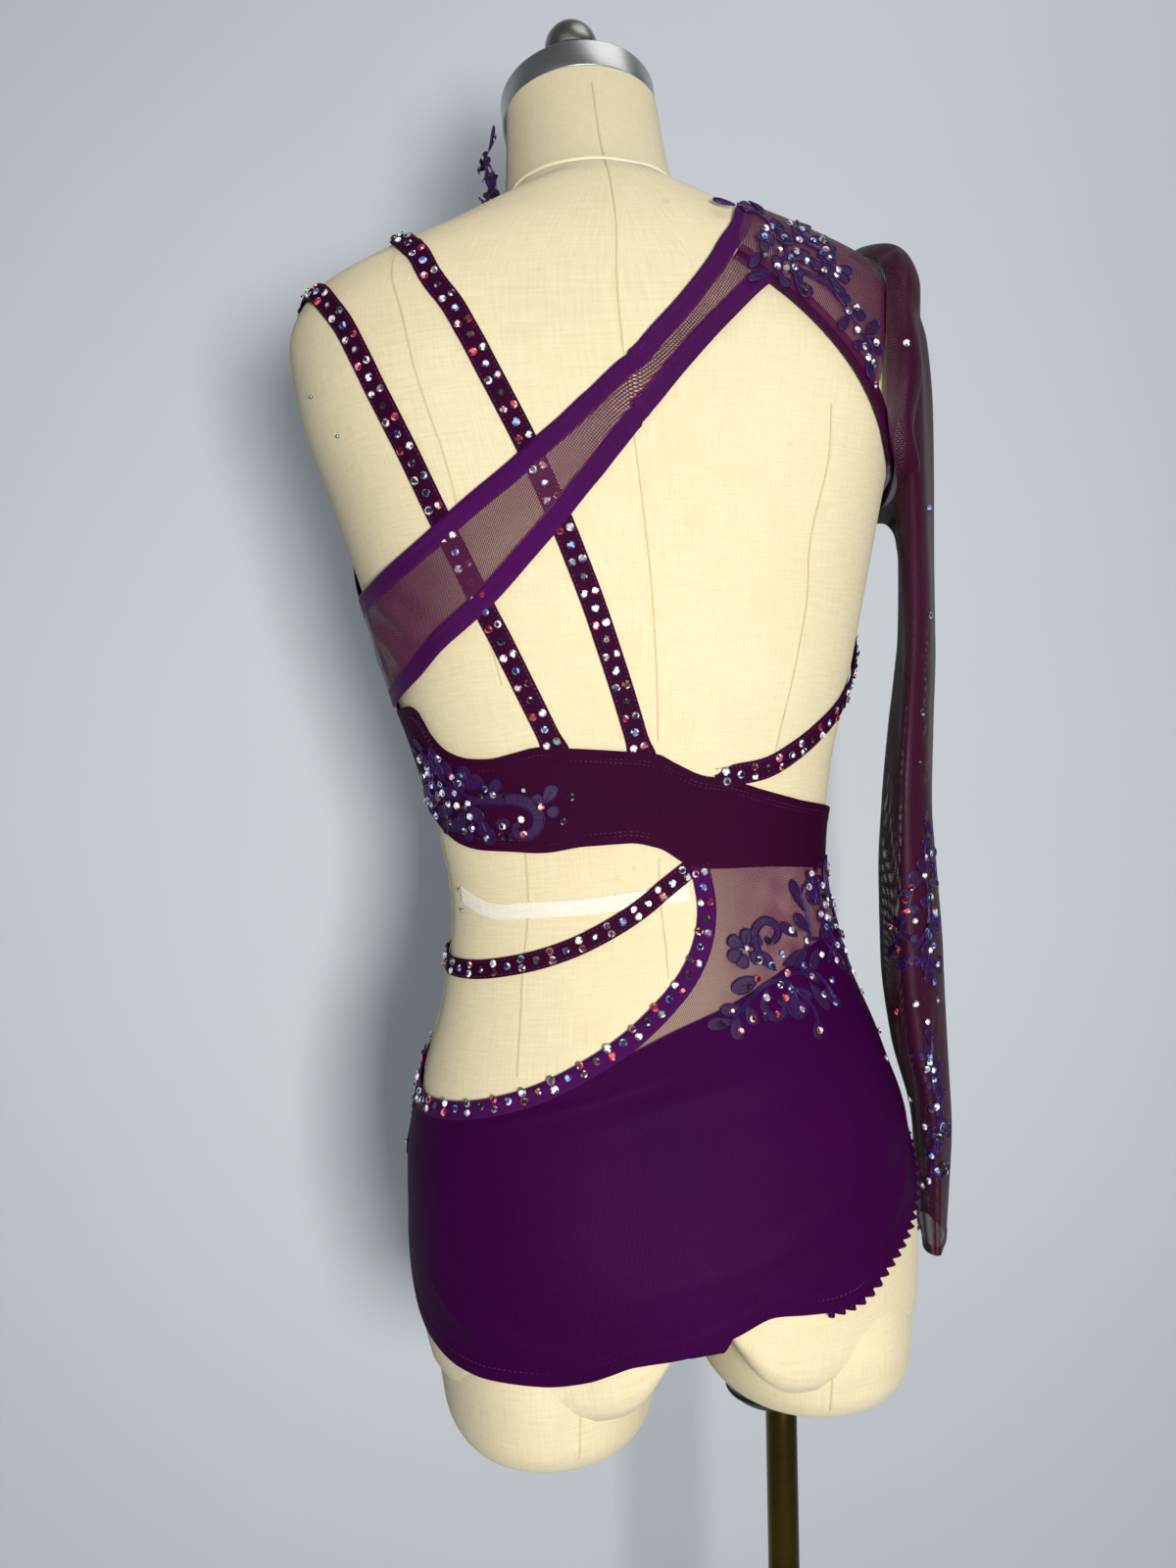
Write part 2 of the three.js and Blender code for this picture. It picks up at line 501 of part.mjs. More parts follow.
// Straps, cut to end at the band, the bodice and the bound cut-out
const straps = {
  strap_outer: [[-22, 85], [-24.8, 110], [-28.5, 140], [-31.2, 160], [-34.3, 187.5], [-36.8, 211], [-38.6, 231],
    [-40.4, 252], [-42.4, 273], [-45.4, 295], [-50.5, 318], [-60, 337], [-76, 349], [-92, 346], [-103, 328],
    [-108, 300], [-112, 248]],
  strap_inner: [[-2.6, 80], [-4.9, 114], [-6.5, 136], [-8, 156], [-9.6, 176], [-11.1, 196], [-13, 220],
    [-14.7, 241], [-16.2, 258], [-18.2, 278], [-20.8, 298], [-25, 319], [-34.6, 345], [-55, 364], [-82, 373],
    [-104, 366], [-116, 345], [-123, 312], [-127, 266]],
  strap_side: [[18, 63], [28.6, 65.6], [38.8, 73.6], [51, 86.5], [65, 103], [77, 124], [86, 142], [89, 146]],
  strap_waist: [[6, 10], [1.6, 3.6], [-3.4, -4.8], [-9.6, -12.8], [-17.4, -20.6], [-25.8, -27], [-36, -32],
    [-48.5, -35.3], [-62, -36.6], [-81, -35], [-98, -30], [-114, -24], [-123, -20]],
};
const hipChannel = channel(hipEdge, BINDING_WIDTH, STEPS.hip);
const bandCut = wall(onForm, (u, v) => [mix(-90, 90, u), mix(bandBottom(mix(-90, 90, u)) - GAP,
  bandTop(mix(-90, 90, u)) + GAP, v)], 48, 1, -2, 9);
for (const [name, points] of Object.entries(straps)) {
  const cutters = { strap_waist: [hipChannel] }[name] ?? [bandCut];
  const width = name === 'strap_waist' ? BINDING_WIDTH : STRAP_WIDTH;
  add(name, trimmed(strip(path(onForm, points), width, STEPS[name] ?? STEPS.strap, CLOTH), cutters), 'plum');
}

// Diagonal band of net with its bound edges, and the yoke on the right shoulder
const upperChannel = channel(outer, BINDING_WIDTH, STEPS.neckline);
const lowerChannel = channel(lower, BINDING_WIDTH, STEPS.sash);
const armholeChannel = channel(armhole, BINDING_WIDTH, STEPS.armhole);
add('neckline_binding', strip(outer, BINDING_WIDTH, STEPS.neckline, OVER_BINDING), 'satin');
add('armhole_binding', trimmed(strip(armhole, BINDING_WIDTH, STEPS.armhole, OVER_BINDING), [upperChannel]), 'satin');
add('sash_binding_lower', trimmed(strip(lower, BINDING_WIDTH, STEPS.sash, OVER_BINDING),
  [armholeChannel, upperChannel]), 'satin');
const sashOver = { at: (t) => outer.at(mix(0.006, SASH_END, t)) };
const sashUnder = { at: (t) => lower.at(mix(0.01, 1, t)) };
add('sash_mesh', trimmed(between(onForm, sashUnder, sashOver, 16, 3, OVER),
  [upperChannel, lowerChannel, armholeChannel]), 'net');
// The net ends at the sleeve's seam: its edges run along the bindings and then that seam
const backEdge = path(onForm, [[15.5, 334], [19.5, 324], [25, 308], [31.5, 296], [38, 284], [46, 269],
  [49, 294], [52, 322], [60, 345], [73, 357], [SIDE, 361]]);
const frontEdge = path(onForm, [[90.3, 361], [107, 357], [120, 345], [127, 322], [129, 294], [128, 266],
  [142, 250.5], [162, 226.5], [180, 214.5], [198, 228.5], [212, 246.5], [224, 257]]);
const shoulderTurn = steady([[0, 14], [0.45, 15.3], [1, 19]]);
const neckSide = (from, to) => ({ at: (t) => outer.at(edgeShare(mix(from, to, t))) });
const frontNeck = { at: (t) => outer.at(edgeShare(shoulderTurn(t))) };
add('shoulder_yoke', trimmed(between(onForm, backEdge, neckSide(10, 14), 20, 4, YOKE),
  [upperChannel, armholeChannel]), 'net');
add('front_yoke', trimmed(between(onForm, frontEdge, frontNeck, 22, 5, YOKE), [upperChannel]), 'net');

// Bodice and trunk
add('back_band', wall(onForm, (u, v) => {
  const angle = mix(-SIDE, SIDE, u);
  return [angle, mix(bandBottom(angle), bandTop(angle), v)];
}, 32, 2, CLOTH.inner, CLOTH.outer), 'plum');
add('bodice_front', trimmed(panel(onForm, { from: 90.05, to: 269.95, bottom: waistSeam, top: bodiceTop,
  columns: 24, rows: 8 }, CLOTH), [hipChannel]), 'plum');
add('hip_binding', strip(hipEdge, BINDING_WIDTH, STEPS.hip, CLOTH), 'satin');
add('hip_mesh', trimmed(panel(onFolds, { from: -19, to: SIDE, bottom: (a) => trunkTop(a) + GAP,
  top: hipMeshTop, columns: 22, rows: 2 }, CLOTH), [hipChannel]), 'net');
add('trunk_back', trimmed(panel(onFolds, { from: -SIDE, to: SIDE, bottom: backHem, top: trunkTop,
  columns: 26, rows: 5 }, CLOTH), [hipChannel]), 'spandex');
add('trunk_front', trimmed(panel(onFolds, { from: 90.05, to: 269.95, bottom: frontHem,
  top: trunkFrontTop, columns: 24, rows: 5 }, CLOTH), [hipChannel]), 'spandex');

// The gusset joins the two hems under the crotch
const gussetRows = table('half y z', [[8, 102, 62.5], [7, 60, 68], [7, 0, 68.5], [7, -50, 68.5], [9, -74, 63]]);
add('gusset', wall((x, row, lift) => {
  if (row === 0 || row === gussetRows.length + 1) {
    const front = row > 0;
    const angle = front ? 180 + x * 3.5 : -x * 3.5;
    return onForm(angle, (front ? frontHem : backHem)(angle) - GAP, lift);
  }
  const { half, y, z } = gussetRows[row - 1];
  return new THREE.Vector3(POLE_TO_CENTRE + x * half, y, z - lift);
}, (u, v) => [2 * u - 1, Math.round(v * (gussetRows.length + 1))], 2, gussetRows.length + 1,
CLOTH.inner, CLOTH.outer), 'spandex');

// The sleeve: an oval tube open at both ends, hung from the shoulder
function sleeveTube(columns, rows) {
  const loops = [0, -SLEEVE_WALL].map((lift) => Array.from({ length: rows + 1 }, (_, k) =>
    around(columns).map((turn) => onSleeve(turn, (SLEEVE.length - 1) * k / rows, lift))));
  const positions = loops.flat(2).flatMap((p) => p.toArray());
  const faces = [];
  const id = (side, k, i) => (side * (rows + 1) + k) * columns + i % columns;
  const quad = (a, b, c, d) => faces.push(a, b, c, a, c, d);
  for (let i = 0; i < columns; i++) {
    for (let k = 0; k < rows; k++) {
      quad(id(0, k, i), id(0, k, i + 1), id(0, k + 1, i + 1), id(0, k + 1, i));
      quad(id(1, k, i + 1), id(1, k, i), id(1, k + 1, i), id(1, k + 1, i + 1));
    }
    quad(id(0, 0, i + 1), id(0, 0, i), id(1, 0, i), id(1, 0, i + 1));
    quad(id(0, rows, i), id(0, rows, i + 1), id(1, rows, i + 1), id(1, rows, i));
  }
  return solid(positions, faces);
}
add('sleeve', sleeveTube(SIDES.sleeve, 16), 'net', group);

// Corded lace sprays, each on the piece it is sewn to
const LACE = { inner: 3.2, outer: 4.6 };
const LACE_ON_HIP = { inner: 3.8, outer: 5.2 };
const LACE_OVER = { inner: 5.2, outer: 6.5 };
const LACE_ON_SLEEVE = { inner: 1.8, outer: 3.1 };  // over the sharper bend of its back edge
const onCollar = (angle, level, lift) =>
  onForm(angle, level, lift - 1.1 + 9 * THREE.MathUtils.smoothstep(level, 402, 440));

// Leaves are listed as share along the stem, turn from it, length and breadth
add('lace_shoulder', spray(onForm, [
  { points: [[25, 357], [23, 344], [27, 334], [33, 324], [38, 308], [42, 290], [44, 274]], steps: 9,
    leaves: [[0.02, 150, 13, 6], [0.14, 70, 15, 7], [0.24, -60, 15, 8], [0.36, 60, 16, 8],
      [0.52, -45, 16, 8], [0.66, 45, 14, 7], [0.85, -35, 14, 7], [0.97, 10, 14, 7]] },
], LACE_OVER), 'lace');
add('lace_bust', spray(onForm, [
  { points: [[-85, 110], [-84, 88], [-81, 68], [-72, 54], [-58, 46], [-43, 48]], steps: 9,
    leaves: [[0.05, 40, 14, 7], [0.22, -45, 15, 8], [0.4, 50, 15, 8], [0.55, -40, 14, 7], [0.75, 60, 15, 8],
      [0.97, 20, 16, 7]] },
], LACE), 'lace');
add('lace_hip', spray(onFolds, [
  { points: [[52, -4], [63, -16], [70, -34], [66, -52], [54, -64]], steps: 8,
    leaves: [[0.05, 150, 14, 7], [0.2, 60, 15, 8], [0.7, -50, 16, 8], [0.98, 10, 16, 7]] },
  { points: [[69, -42], [56, -38], [44, -34], [32, -30], [22, -36]], steps: 8,
    leaves: [[0.4, 60, 15, 8], [0.7, -55, 15, 8], [0.98, 20, 15, 8]] },
  { points: [[58, -61], [46, -68], [34, -66], [22, -66], [13, -72]], steps: 8,
    leaves: [[0.3, -60, 14, 7], [0.55, 60, 14, 7], [0.97, 20, 15, 7]] },
], LACE_ON_HIP), 'lace');
add('lace_hip_left', spray(onFolds, [
  { points: [[-97, -90], [-98, -112], [-96, -138]], steps: 5,
    leaves: [[0.1, 140, 13, 7], [0.5, 60, 14, 8], [0.95, 10, 14, 7]] },
], LACE), 'lace');
add('lace_neck', spray(onCollar, [
  { points: [[-128, 399], [-121, 412], [-113, 430], [-107, 448]], steps: 6,
    leaves: [[0.3, 60, 14, 8], [0.55, -60, 14, 8], [0.97, 0, 14, 8]] },
], CLOTH), 'lace');
add('lace_sleeve_upper', spray(onSleeve, [
  { points: [[40, 9.3], [36, 10], [44, 10.7], [38, 11.4]], steps: 6,
    leaves: [[0.03, 150, 14, 7], [0.3, 60, 15, 8], [0.6, -60, 15, 8], [0.97, 10, 15, 7]] },
  { points: [[40, 10.4], [62, 10.5], [85, 10.4], [104, 10.7]], steps: 6,
    leaves: [[0.5, 50, 14, 7], [0.98, 20, 15, 8]] },
], LACE_ON_SLEEVE), 'lace', group);
add('lace_sleeve_lower', spray(onSleeve, [
  { points: [[40, 12], [46, 12.6], [42, 13.2], [50, 13.9]], steps: 6,
    leaves: [[0.03, 150, 14, 7], [0.35, 60, 15, 8], [0.65, -60, 15, 8], [0.97, 10, 15, 7]] },
], { inner: 0.9, outer: 2.2 }), 'lace', group);

export default group;
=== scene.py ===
import math

import bpy
import numpy as np
from mathutils import Matrix, Vector


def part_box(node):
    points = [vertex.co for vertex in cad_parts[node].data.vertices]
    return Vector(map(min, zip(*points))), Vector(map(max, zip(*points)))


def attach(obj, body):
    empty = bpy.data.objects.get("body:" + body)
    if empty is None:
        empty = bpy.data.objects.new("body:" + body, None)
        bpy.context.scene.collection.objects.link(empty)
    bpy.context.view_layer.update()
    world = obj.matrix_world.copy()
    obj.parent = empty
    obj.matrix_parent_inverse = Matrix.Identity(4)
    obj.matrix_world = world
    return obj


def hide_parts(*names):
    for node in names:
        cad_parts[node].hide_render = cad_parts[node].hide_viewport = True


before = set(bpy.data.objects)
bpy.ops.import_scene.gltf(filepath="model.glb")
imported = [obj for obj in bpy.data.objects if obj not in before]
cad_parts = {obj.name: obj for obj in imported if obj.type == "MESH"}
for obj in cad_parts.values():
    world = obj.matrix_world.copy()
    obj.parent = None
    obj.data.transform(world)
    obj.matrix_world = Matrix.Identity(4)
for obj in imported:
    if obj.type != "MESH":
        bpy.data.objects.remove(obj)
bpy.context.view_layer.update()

MM = 0.001
SEED = 11
NECK_TOP = 477
KNIT_LIFT, KNIT_THICK = 1.4, 0.8      # the tight knit over the form
NET_THICK = 0.25
HEM_ROWS, LEG_ROW = (4.4, 6.6), 7.2   # stitch rows from an edge: on hems, and on the leg edge


def linked(name, data):
    """A new object in the scene."""
    obj = bpy.data.objects.new(name, data)
    bpy.context.scene.collection.objects.link(obj)
    return obj


# ------------------------------------------------------------------ the form's skin, in mm
WAIST_HEIGHT, PIVOT_LEVEL, POLE_TO_CENTRE = 1040.0, -300.0, 66.0
LEAN = math.radians(3.4)
SIDE = 89.95
BODY = np.array([  # level, half width, depth back and front, roundness, slope
    [-310, 137, 94, 83, 2.6, 0], [-250, 147, 110, 86, 2.4, 0], [-200, 151, 116, 88, 2.3, 0],
    [-150, 149, 110, 88, 2.2, 0], [-100, 138, 94, 86, 2.1, 0], [-50, 122, 76, 80, 2.1, 0],
    [0, 114, 69, 76, 2.1, 0], [60, 122, 78, 84, 2.2, 0], [120, 137, 93, 98, 2.4, 0],
    [180, 152, 104, 104, 2.5, 0], [240, 168, 106, 92, 2.6, 0], [290, 182, 103, 82, 2.7, 3],
    [326, 186, 96, 74, 2.6, 7], [346, 179, 91, 70, 2.3, 10], [358, 158, 86, 68, 2.1, 13],
    [369, 125, 80, 68, 2.0, 16], [380, 92, 73, 66, 2.0, 19], [392, 60, 64, 62, 2.0, 21],
    [430, 51, 51, 58, 2.0, 18], [NECK_TOP, 47, 38, 58, 2.0, 12]], float)
THIGH_ROWS = np.array([[-275, 63, 95, 73], [-255, 64, 98, 75], [-225, 61, 93, 72], [-170, 50, 80, 62]],
                      float)
SLEEVE = np.array([  # outer edge x z, inner edge x z, half depth, swing, how free of the shoulder
    [-150, 384, -146, 236, 64, 0, 0], [-150, 384, -147, 232, 64, 0.1, 0.22],
    [-162, 370, -149, 224, 64, 0.22, 0.7], [-172, 334, -150, 212, 63, 0.4, 1],
    [-176, 292, -151, 198, 62, 0.42, 1], [-177, 246, -151, 178, 61, 0.42, 1],
    [-177, 198, -151, 152, 60, 0.42, 1], [-177, 150, -149, 124, 59, 0.42, 1],
    [-175, 100, -145, 92, 57, 0.42, 1], [-174, 50, -140, 48, 55, 0.42, 1],
    [-176, 0, -137, 0, 52, 0.42, 1], [-178, -50, -137, -50, 50, 0.42, 1],
    [-178, -98, -141, -98, 46, 0.38, 1], [-178, -146, -152, -146, 42, 0.34, 1],
    [-175, -188, -155, -188, 39, 0.3, 1], [-172, -226, -157, -226, 37, 0.3, 1]], float)
FOLDS = [  # drag folds: from a place to a place, height and width
    (70, -70, -30, -124, 1.6, 7), (60, -96, -10, -112, 1.2, 6), (72, -130, 6, -190, 1.8, 8),
    (60, -170, 10, -214, 1.4, 8), (30, -128, -60, -196, 1.0, 10), (-62, -208, -20, -236, 1.6, 6),
    (110, -80, 190, -150, 1.5, 8), (120, -150, 200, -200, 1.3, 8), (240, -100, 170, -180, 1.2, 9)]
CREASES = [  # the finer creases between them
    (-20, -104, -56, -124, 0.9, 2.6), (2, -92, -36, -116, 0.7, 2.2), (60, -66, 4, -98, 0.5, 3.0),
    (66, -82, 0, -122, 0.5, 3.4), (-70, -196, -40, -232, 1.0, 3.2), (-60, -190, -30, -222, -0.7, 3.0),
    (80, -120, 42, -196, 0.9, 4.0), (84, -134, 54, -190, -0.6, 3.2), (70, -150, 26, -212, 0.8, 3.8),
    (40, -150, -6, -178, 0.5, 4.2), (24, -182, -20, -206, 0.5, 4.0), (10, -150, -46, -176, 0.35, 5.0),
    (100, -120, 150, -190, 0.7, 4.0), (230, -120, 190, -200, 0.7, 4.0), (140, -60, 200, -90, 0.5, 4.0)]


def power(value, exponent):
    return np.sign(value) * np.abs(value) ** exponent


def smooth(value, low, high):
    t = np.clip((value - low) / (high - low), 0, 1)
    return t * t * (3 - 2 * t)


def steady(x, y):
    """A smooth curve through points, with no swing past them."""
    x, y = np.asarray(x, float), np.asarray(y, float)
    h = np.diff(x)
    d = np.diff(y) / h
    m = np.zeros_like(y)
    m[0], m[-1] = d[0], d[-1]
    near, far = 2 * h[1:] + h[:-1], h[1:] + 2 * h[:-1]
    with np.errstate(divide="ignore", invalid="ignore"):
        inner = (near + far) / (near / d[:-1] + far / d[1:])
    m[1:-1] = np.where(d[:-1] * d[1:] > 0, inner, 0)

    def curve(value):
        v = np.clip(value, x[0], x[-1])
        i = np.clip(np.searchsorted(x, v, side="right") - 1, 0, len(x) - 2)
        w = x[i + 1] - x[i]
        t = (v - x[i]) / w
        return ((1 + 2 * t) * (1 - t) ** 2 * y[i] + t * (1 - t) ** 2 * w * m[i]
                + t * t * (3 - 2 * t) * y[i + 1] + t * t * (t - 1) * w * m[i + 1])
    return curve


def edge(*points):
    return steady([p[0] for p in points], [p[1] for p in points])


WIDE, BACK, FRONT, ROUND, SLOPE = (steady(BODY[:, 0], BODY[:, k]) for k in range(1, 6))


def lean(p):
    x, y, z = p[..., 0], p[..., 1], p[..., 2]
    return np.stack([x * math.cos(LEAN) + z * math.sin(LEAN), y,
                     -x * math.sin(LEAN) + z * math.cos(LEAN) + WAIST_HEIGHT + PIVOT_LEVEL], -1)


def body_point(angle, level):
    angle, level = np.broadcast_arrays(np.asarray(angle, float), np.asarray(level, float))
    s, c = np.sin(np.radians(angle)), np.cos(np.radians(angle))
    e = 2 / ROUND(level)
    off = np.abs((angle + 180) % 360 - 180) - 142
    near = np.exp(-(off / 28) ** 2 - ((level - 165) / 52) ** 2)
    bust = np.where(c < 0, 8 * np.minimum(1, -2 * c) * near, 0)
    y = np.where(c > 0, BACK(level), FRONT(level)) * power(c, e) - bust
    return np.stack([POLE_TO_CENTRE - WIDE(level) * power(s, e), y,
                     level - PIVOT_LEVEL + np.tan(np.radians(SLOPE(level))) * y], -1)


def lifted(point, step_a, step_b):
    """The surface of two parameters, a point lifted off it along its outward normal."""
    def surface(a, b, lift=0.0):
        a, b = np.broadcast_arrays(np.asarray(a, float), np.asarray(b, float))
        out = np.cross(point(a + step_a, b) - point(a - step_a, b),
                       point(a, b + step_b) - point(a, b - step_b))
        out /= np.linalg.norm(out, axis=-1, keepdims=True)
        return point(a, b) + out * np.asarray(lift, float)[..., None]
    return surface


on_form = lifted(lambda a, b: lean(body_point(a, b)), 0.5, 1.0)


def folds(angle, level, rows):
    """How far the folds in a table raise the cloth at a place."""
    angle = (np.asarray(angle, float) + 90) % 360 - 90
    height = np.zeros(np.broadcast(angle, level).shape)
    for from_angle, from_level, to_angle, to_level, high, wide in rows:
        run = np.array([(to_angle - from_angle) * 2.2, to_level - from_level])
        ax, ay = (angle - from_angle) * 2.2, level - from_level
        t = (ax * run[0] + ay * run[1]) / (run @ run)
        away = np.hypot(ax - run[0] * t, ay - run[1] * t)
        bulge = high * np.sin(np.pi * np.clip(t, 0, 1)) * np.exp(-(away / wide) ** 2)
        height += np.where((t > 0) & (t < 1), bulge, 0)
    return height


def on_folds(angle, level, lift=0.0):
    return on_form(angle, level, lift + folds(angle, level, FOLDS))


def on_trunk(angle, level, lift=0.0):
    return on_form(angle, level, lift + folds(angle, level, FOLDS + CREASES))


ROWS = np.arange(len(SLEEVE))
OUT_X, OUT_Z, IN_X, IN_Z, DEPTH, SWING, FREE = (steady(ROWS, SLEEVE[:, k]) for k in range(7))


def sleeve_point(turn, row):
    turn, row = np.broadcast_arrays(np.asarray(turn, float), np.asarray(row, float))
    c, s = np.cos(np.radians(turn)), np.sin(np.radians(turn))
    flute = 1.6 * np.sin(np.radians(3 * turn) + row * 0.5) * np.minimum(1, row / 4)
    y = DEPTH(row) * power(s, 0.9)
    hang = np.stack([
        (OUT_X(row) + IN_X(row)) / 2 + (OUT_X(row) - IN_X(row)) / 2 * c + POLE_TO_CENTRE - flute * c
        + SWING(row) * y,
        y,
        (OUT_Z(row) + IN_Z(row)) / 2 + (OUT_Z(row) - IN_Z(row)) / 2 * c + WAIST_HEIGHT], -1)
    seam = on_form(90 - 42 * power(s, 0.8), 294 + 68 * power(c, 0.8), 7.2 + 12 * np.minimum(row, 2))
    free = np.clip(FREE(row), 0, 1)[..., None]
    return seam * (1 - free) + hang * free


def sleeve_cloth(turn, row):
    """The sleeve with the soft hanging folds of its net."""
    turn, row = np.broadcast_arrays(np.asarray(turn, float), np.asarray(row, float))
    r = np.radians(turn)
    ramp = smooth(row, 0.4, 3)
    drop = (0.55 * np.sin(3 * r - 0.35 * row + 1.0) + 0.4 * np.sin(5 * r + 0.5 * row)
            + 0.25 * np.sin(2 * r + 1.9 * row) - 0.8) * ramp * (1 - 0.6 * smooth(row, 11, 15))
    head = 1.8 * np.sin(8 * r + 0.6) * np.exp(-((row - 2.2) / 1.6) ** 2)
    p = sleeve_point(turn, row)
    step = sleeve_point(turn + 1, row) - sleeve_point(turn - 1, row)
    up = sleeve_point(turn, row + 0.05) - sleeve_point(turn, row - 0.05)
    out = np.cross(step, up)
    out /= np.linalg.norm(out, axis=-1, keepdims=True)
    return p + out * (drop + head)[..., None]


on_sleeve = lifted(sleeve_cloth, 1.0, 0.05)


def thigh_point(side, bottom):
    """One short thigh with its rounded underside; its level runs on past the bottom toward the middle."""
    wide, back, front = (steady(THIGH_ROWS[:, 0], THIGH_ROWS[:, k]) for k in (1, 2, 3))
    shrink = steady([0, 2, 9, 20, 32], [0.6, 0.77, 0.91, 0.98, 1.0])

    def point(angle, level):
        angle, level = np.broadcast_arrays(np.asarray(angle, float), np.asarray(level, float))
        s, c = np.sin(np.radians(angle)), np.cos(np.radians(angle))
        under = np.clip(bottom - level, 0, None) / 40
        k = shrink(np.maximum(level - bottom, 0)) * np.maximum(1 - under, 0.0)
        x = POLE_TO_CENTRE + side * 77 - wide(level) * k * power(s, 0.93)
        y = np.where(c > 0, back(level), front(level)) * k * power(c, 0.93)
        return lean(np.stack([x, y, np.maximum(level, bottom) - PIVOT_LEVEL
                              - 1.5 * smooth(under, 0, 0.9)], -1))
    return point


def step_on(surface, a, b, move):
    """The step in a surface's two parameters that moves a point by a given vector."""
    p = surface(a, b)
    along_a = (surface(a + 0.2, b) - p) / 0.2
    along_b = (surface(a, b + 0.02) - p) / 0.02
    aa, ab, bb = ((x * y).sum(-1) for x, y in ((along_a, along_a), (along_a, along_b),
                                               (along_b, along_b)))
    along, up = (along_a * move).sum(-1), (along_b * move).sum(-1)
    whole = aa * bb - ab * ab
    return a + (along * bb - up * ab) / whole, b + (up * aa - along * ab) / whole


class Route:
    """A smooth path on a surface, with places a given distance along it and to its side."""

    def __init__(self, surface, points, count=500):
        pts = np.array(points, float)
        n = len(pts)
        p = np.linspace(0, n - 1, count)
        i = np.minimum(p.astype(int), n - 2)
        w = (p - i)[:, None]
        p0, p1, p2, p3 = pts[np.maximum(i - 1, 0)], pts[i], pts[i + 1], pts[np.minimum(i + 2, n - 1)]
        v0, v1 = (p2 - p0) / 2, (p3 - p1) / 2
        line = ((2 * p1 - 2 * p2 + v0 + v1) * w ** 3 + (-3 * p1 + 3 * p2 - 2 * v0 - v1) * w ** 2
                + v0 * w + p1)
        self.surface, self.a, self.b = surface, line[:, 0], line[:, 1]
        gaps = np.linalg.norm(np.diff(surface(self.a, self.b), axis=0), axis=1)
        reach = np.concatenate([[0], np.cumsum(gaps)])
        self.length, self.share = reach[-1], reach / reach[-1]
        self.listed = reach[np.round(np.linspace(0, count - 1, n)).astype(int)] / reach[-1]

    def at(self, s):
        return np.interp(s, self.share, self.a), np.interp(s, self.share, self.b)

    def frame(self, s):
        """Place, direction and outward normal at shares of its length."""
        s = np.asarray(s, float)
        a, b = self.at(s)
        ahead, behind = self.at(np.minimum(s + 0.004, 1)), self.at(np.maximum(s - 0.004, 0))
        run = self.surface(*ahead) - self.surface(*behind)
        run /= np.linalg.norm(run, axis=-1, keepdims=True)
        out = self.surface(a, b, 1.0) - self.surface(a, b)
        return a, b, run, out / np.linalg.norm(out, axis=-1, keepdims=True)

    def beside(self, s, aside):
        a, b, run, out = self.frame(s)
        return step_on(self.surface, a, b, np.cross(out, run) * np.asarray(aside, float)[..., None])


# ------------------------------------------------------------------ camera
def place_camera():
    yaw, pitch, roll = math.radians(7.39), math.radians(-1.24), math.radians(-0.84)
    ahead = Vector((-math.sin(yaw), -math.cos(yaw), 0))
    right = Vector((-math.cos(yaw), math.sin(yaw), 0))
    up = Vector((0, 0, 1))
    look = ahead * math.cos(pitch) - up * math.sin(pitch)
    top = up * math.cos(pitch) + ahead * math.sin(pitch)
    across = right * math.cos(roll) + top * math.sin(roll)
    top = -right * math.sin(roll) + top * math.cos(roll)
    data = bpy.data.cameras.new("camera")
    data.lens, data.sensor_width = 27.2, 36.0
    data.clip_start, data.clip_end = 0.05, 30
    camera = linked("camera", data)
    camera.matrix_world = Matrix(((across.x, top.x, -look.x, 0.2073), (across.y, top.y, -look.y, 0.7173),
                                  (across.z, top.z, -look.z, 1.0830), (0, 0, 0, 1)))
    bpy.context.scene.camera = camera


place_camera()


# ------------------------------------------------------------------ materials
def paint(code, opacity=1.0):
    """A colour from its hex code, as the light it gives back."""
    parts = [int(code[i:i + 2], 16) / 255 for i in (1, 3, 5)]
    return tuple(c / 12.92 if c <= 0.04045 else ((c + 0.055) / 1.055) ** 2.4 for c in parts) + (opacity,)


class Tree:
    """Adds nodes to a node tree, each joined as it is made."""

    def __init__(self, tree):
        self.tree = tree

    def add(self, kind, inputs=(), output=0, **settings):
        node = self.tree.nodes.new(kind)
        for key, value in settings.items():
            setattr(node, key, value)
        for key, value in dict(inputs).items():
            self.set(node.inputs[key], value)
        return node.outputs[output]

    def set(self, socket, value):
        if isinstance(value, bpy.types.NodeSocket):
            self.tree.links.new(value, socket)
        else:
            socket.default_value = value

    def math(self, operation, a, b=0.5, c=0.5):
        return self.add("ShaderNodeMath", {0: a, 1: b, 2: c}, operation=operation)

    def mix(self, factor, a, b):
        return self.add("ShaderNodeMix", {0: factor, 6: a, 7: b}, 2, data_type="RGBA")

    def step(self, value, low, high, to_low=0.0, to_high=1.0):
        return self.add("ShaderNodeMapRange", {0: value, 1: low, 2: high, 3: to_low, 4: to_high},
                        interpolation_type="SMOOTHSTEP")

    def noise(self, vector, scale, detail=2.0, rough=0.5, stretch=None):
        if stretch:
            vector = self.add("ShaderNodeVectorMath", {0: vector, 1: stretch}, operation="MULTIPLY")
        return self.add("ShaderNodeTexNoise", {"Vector": vector, "Scale": scale, "Detail": detail,
                                               "Roughness": rough})


def group(name, inputs, outputs, build):
    tree = bpy.data.node_groups.new(name, "ShaderNodeTree")
    for label, kind, value in inputs:
        socket = tree.interface.new_socket(label, in_out="INPUT", socket_type=kind)
        if value is not None:
            socket.default_value = value
    for label, kind in outputs:
        tree.interface.new_socket(label, in_out="OUTPUT", socket_type=kind)
    t = Tree(tree)
    source = tree.nodes.new("NodeGroupInput").outputs
    sink = tree.nodes.new("NodeGroupOutput").inputs
    for label, value in build(t, source).items():
        t.set(sink[label], value)
    return tree


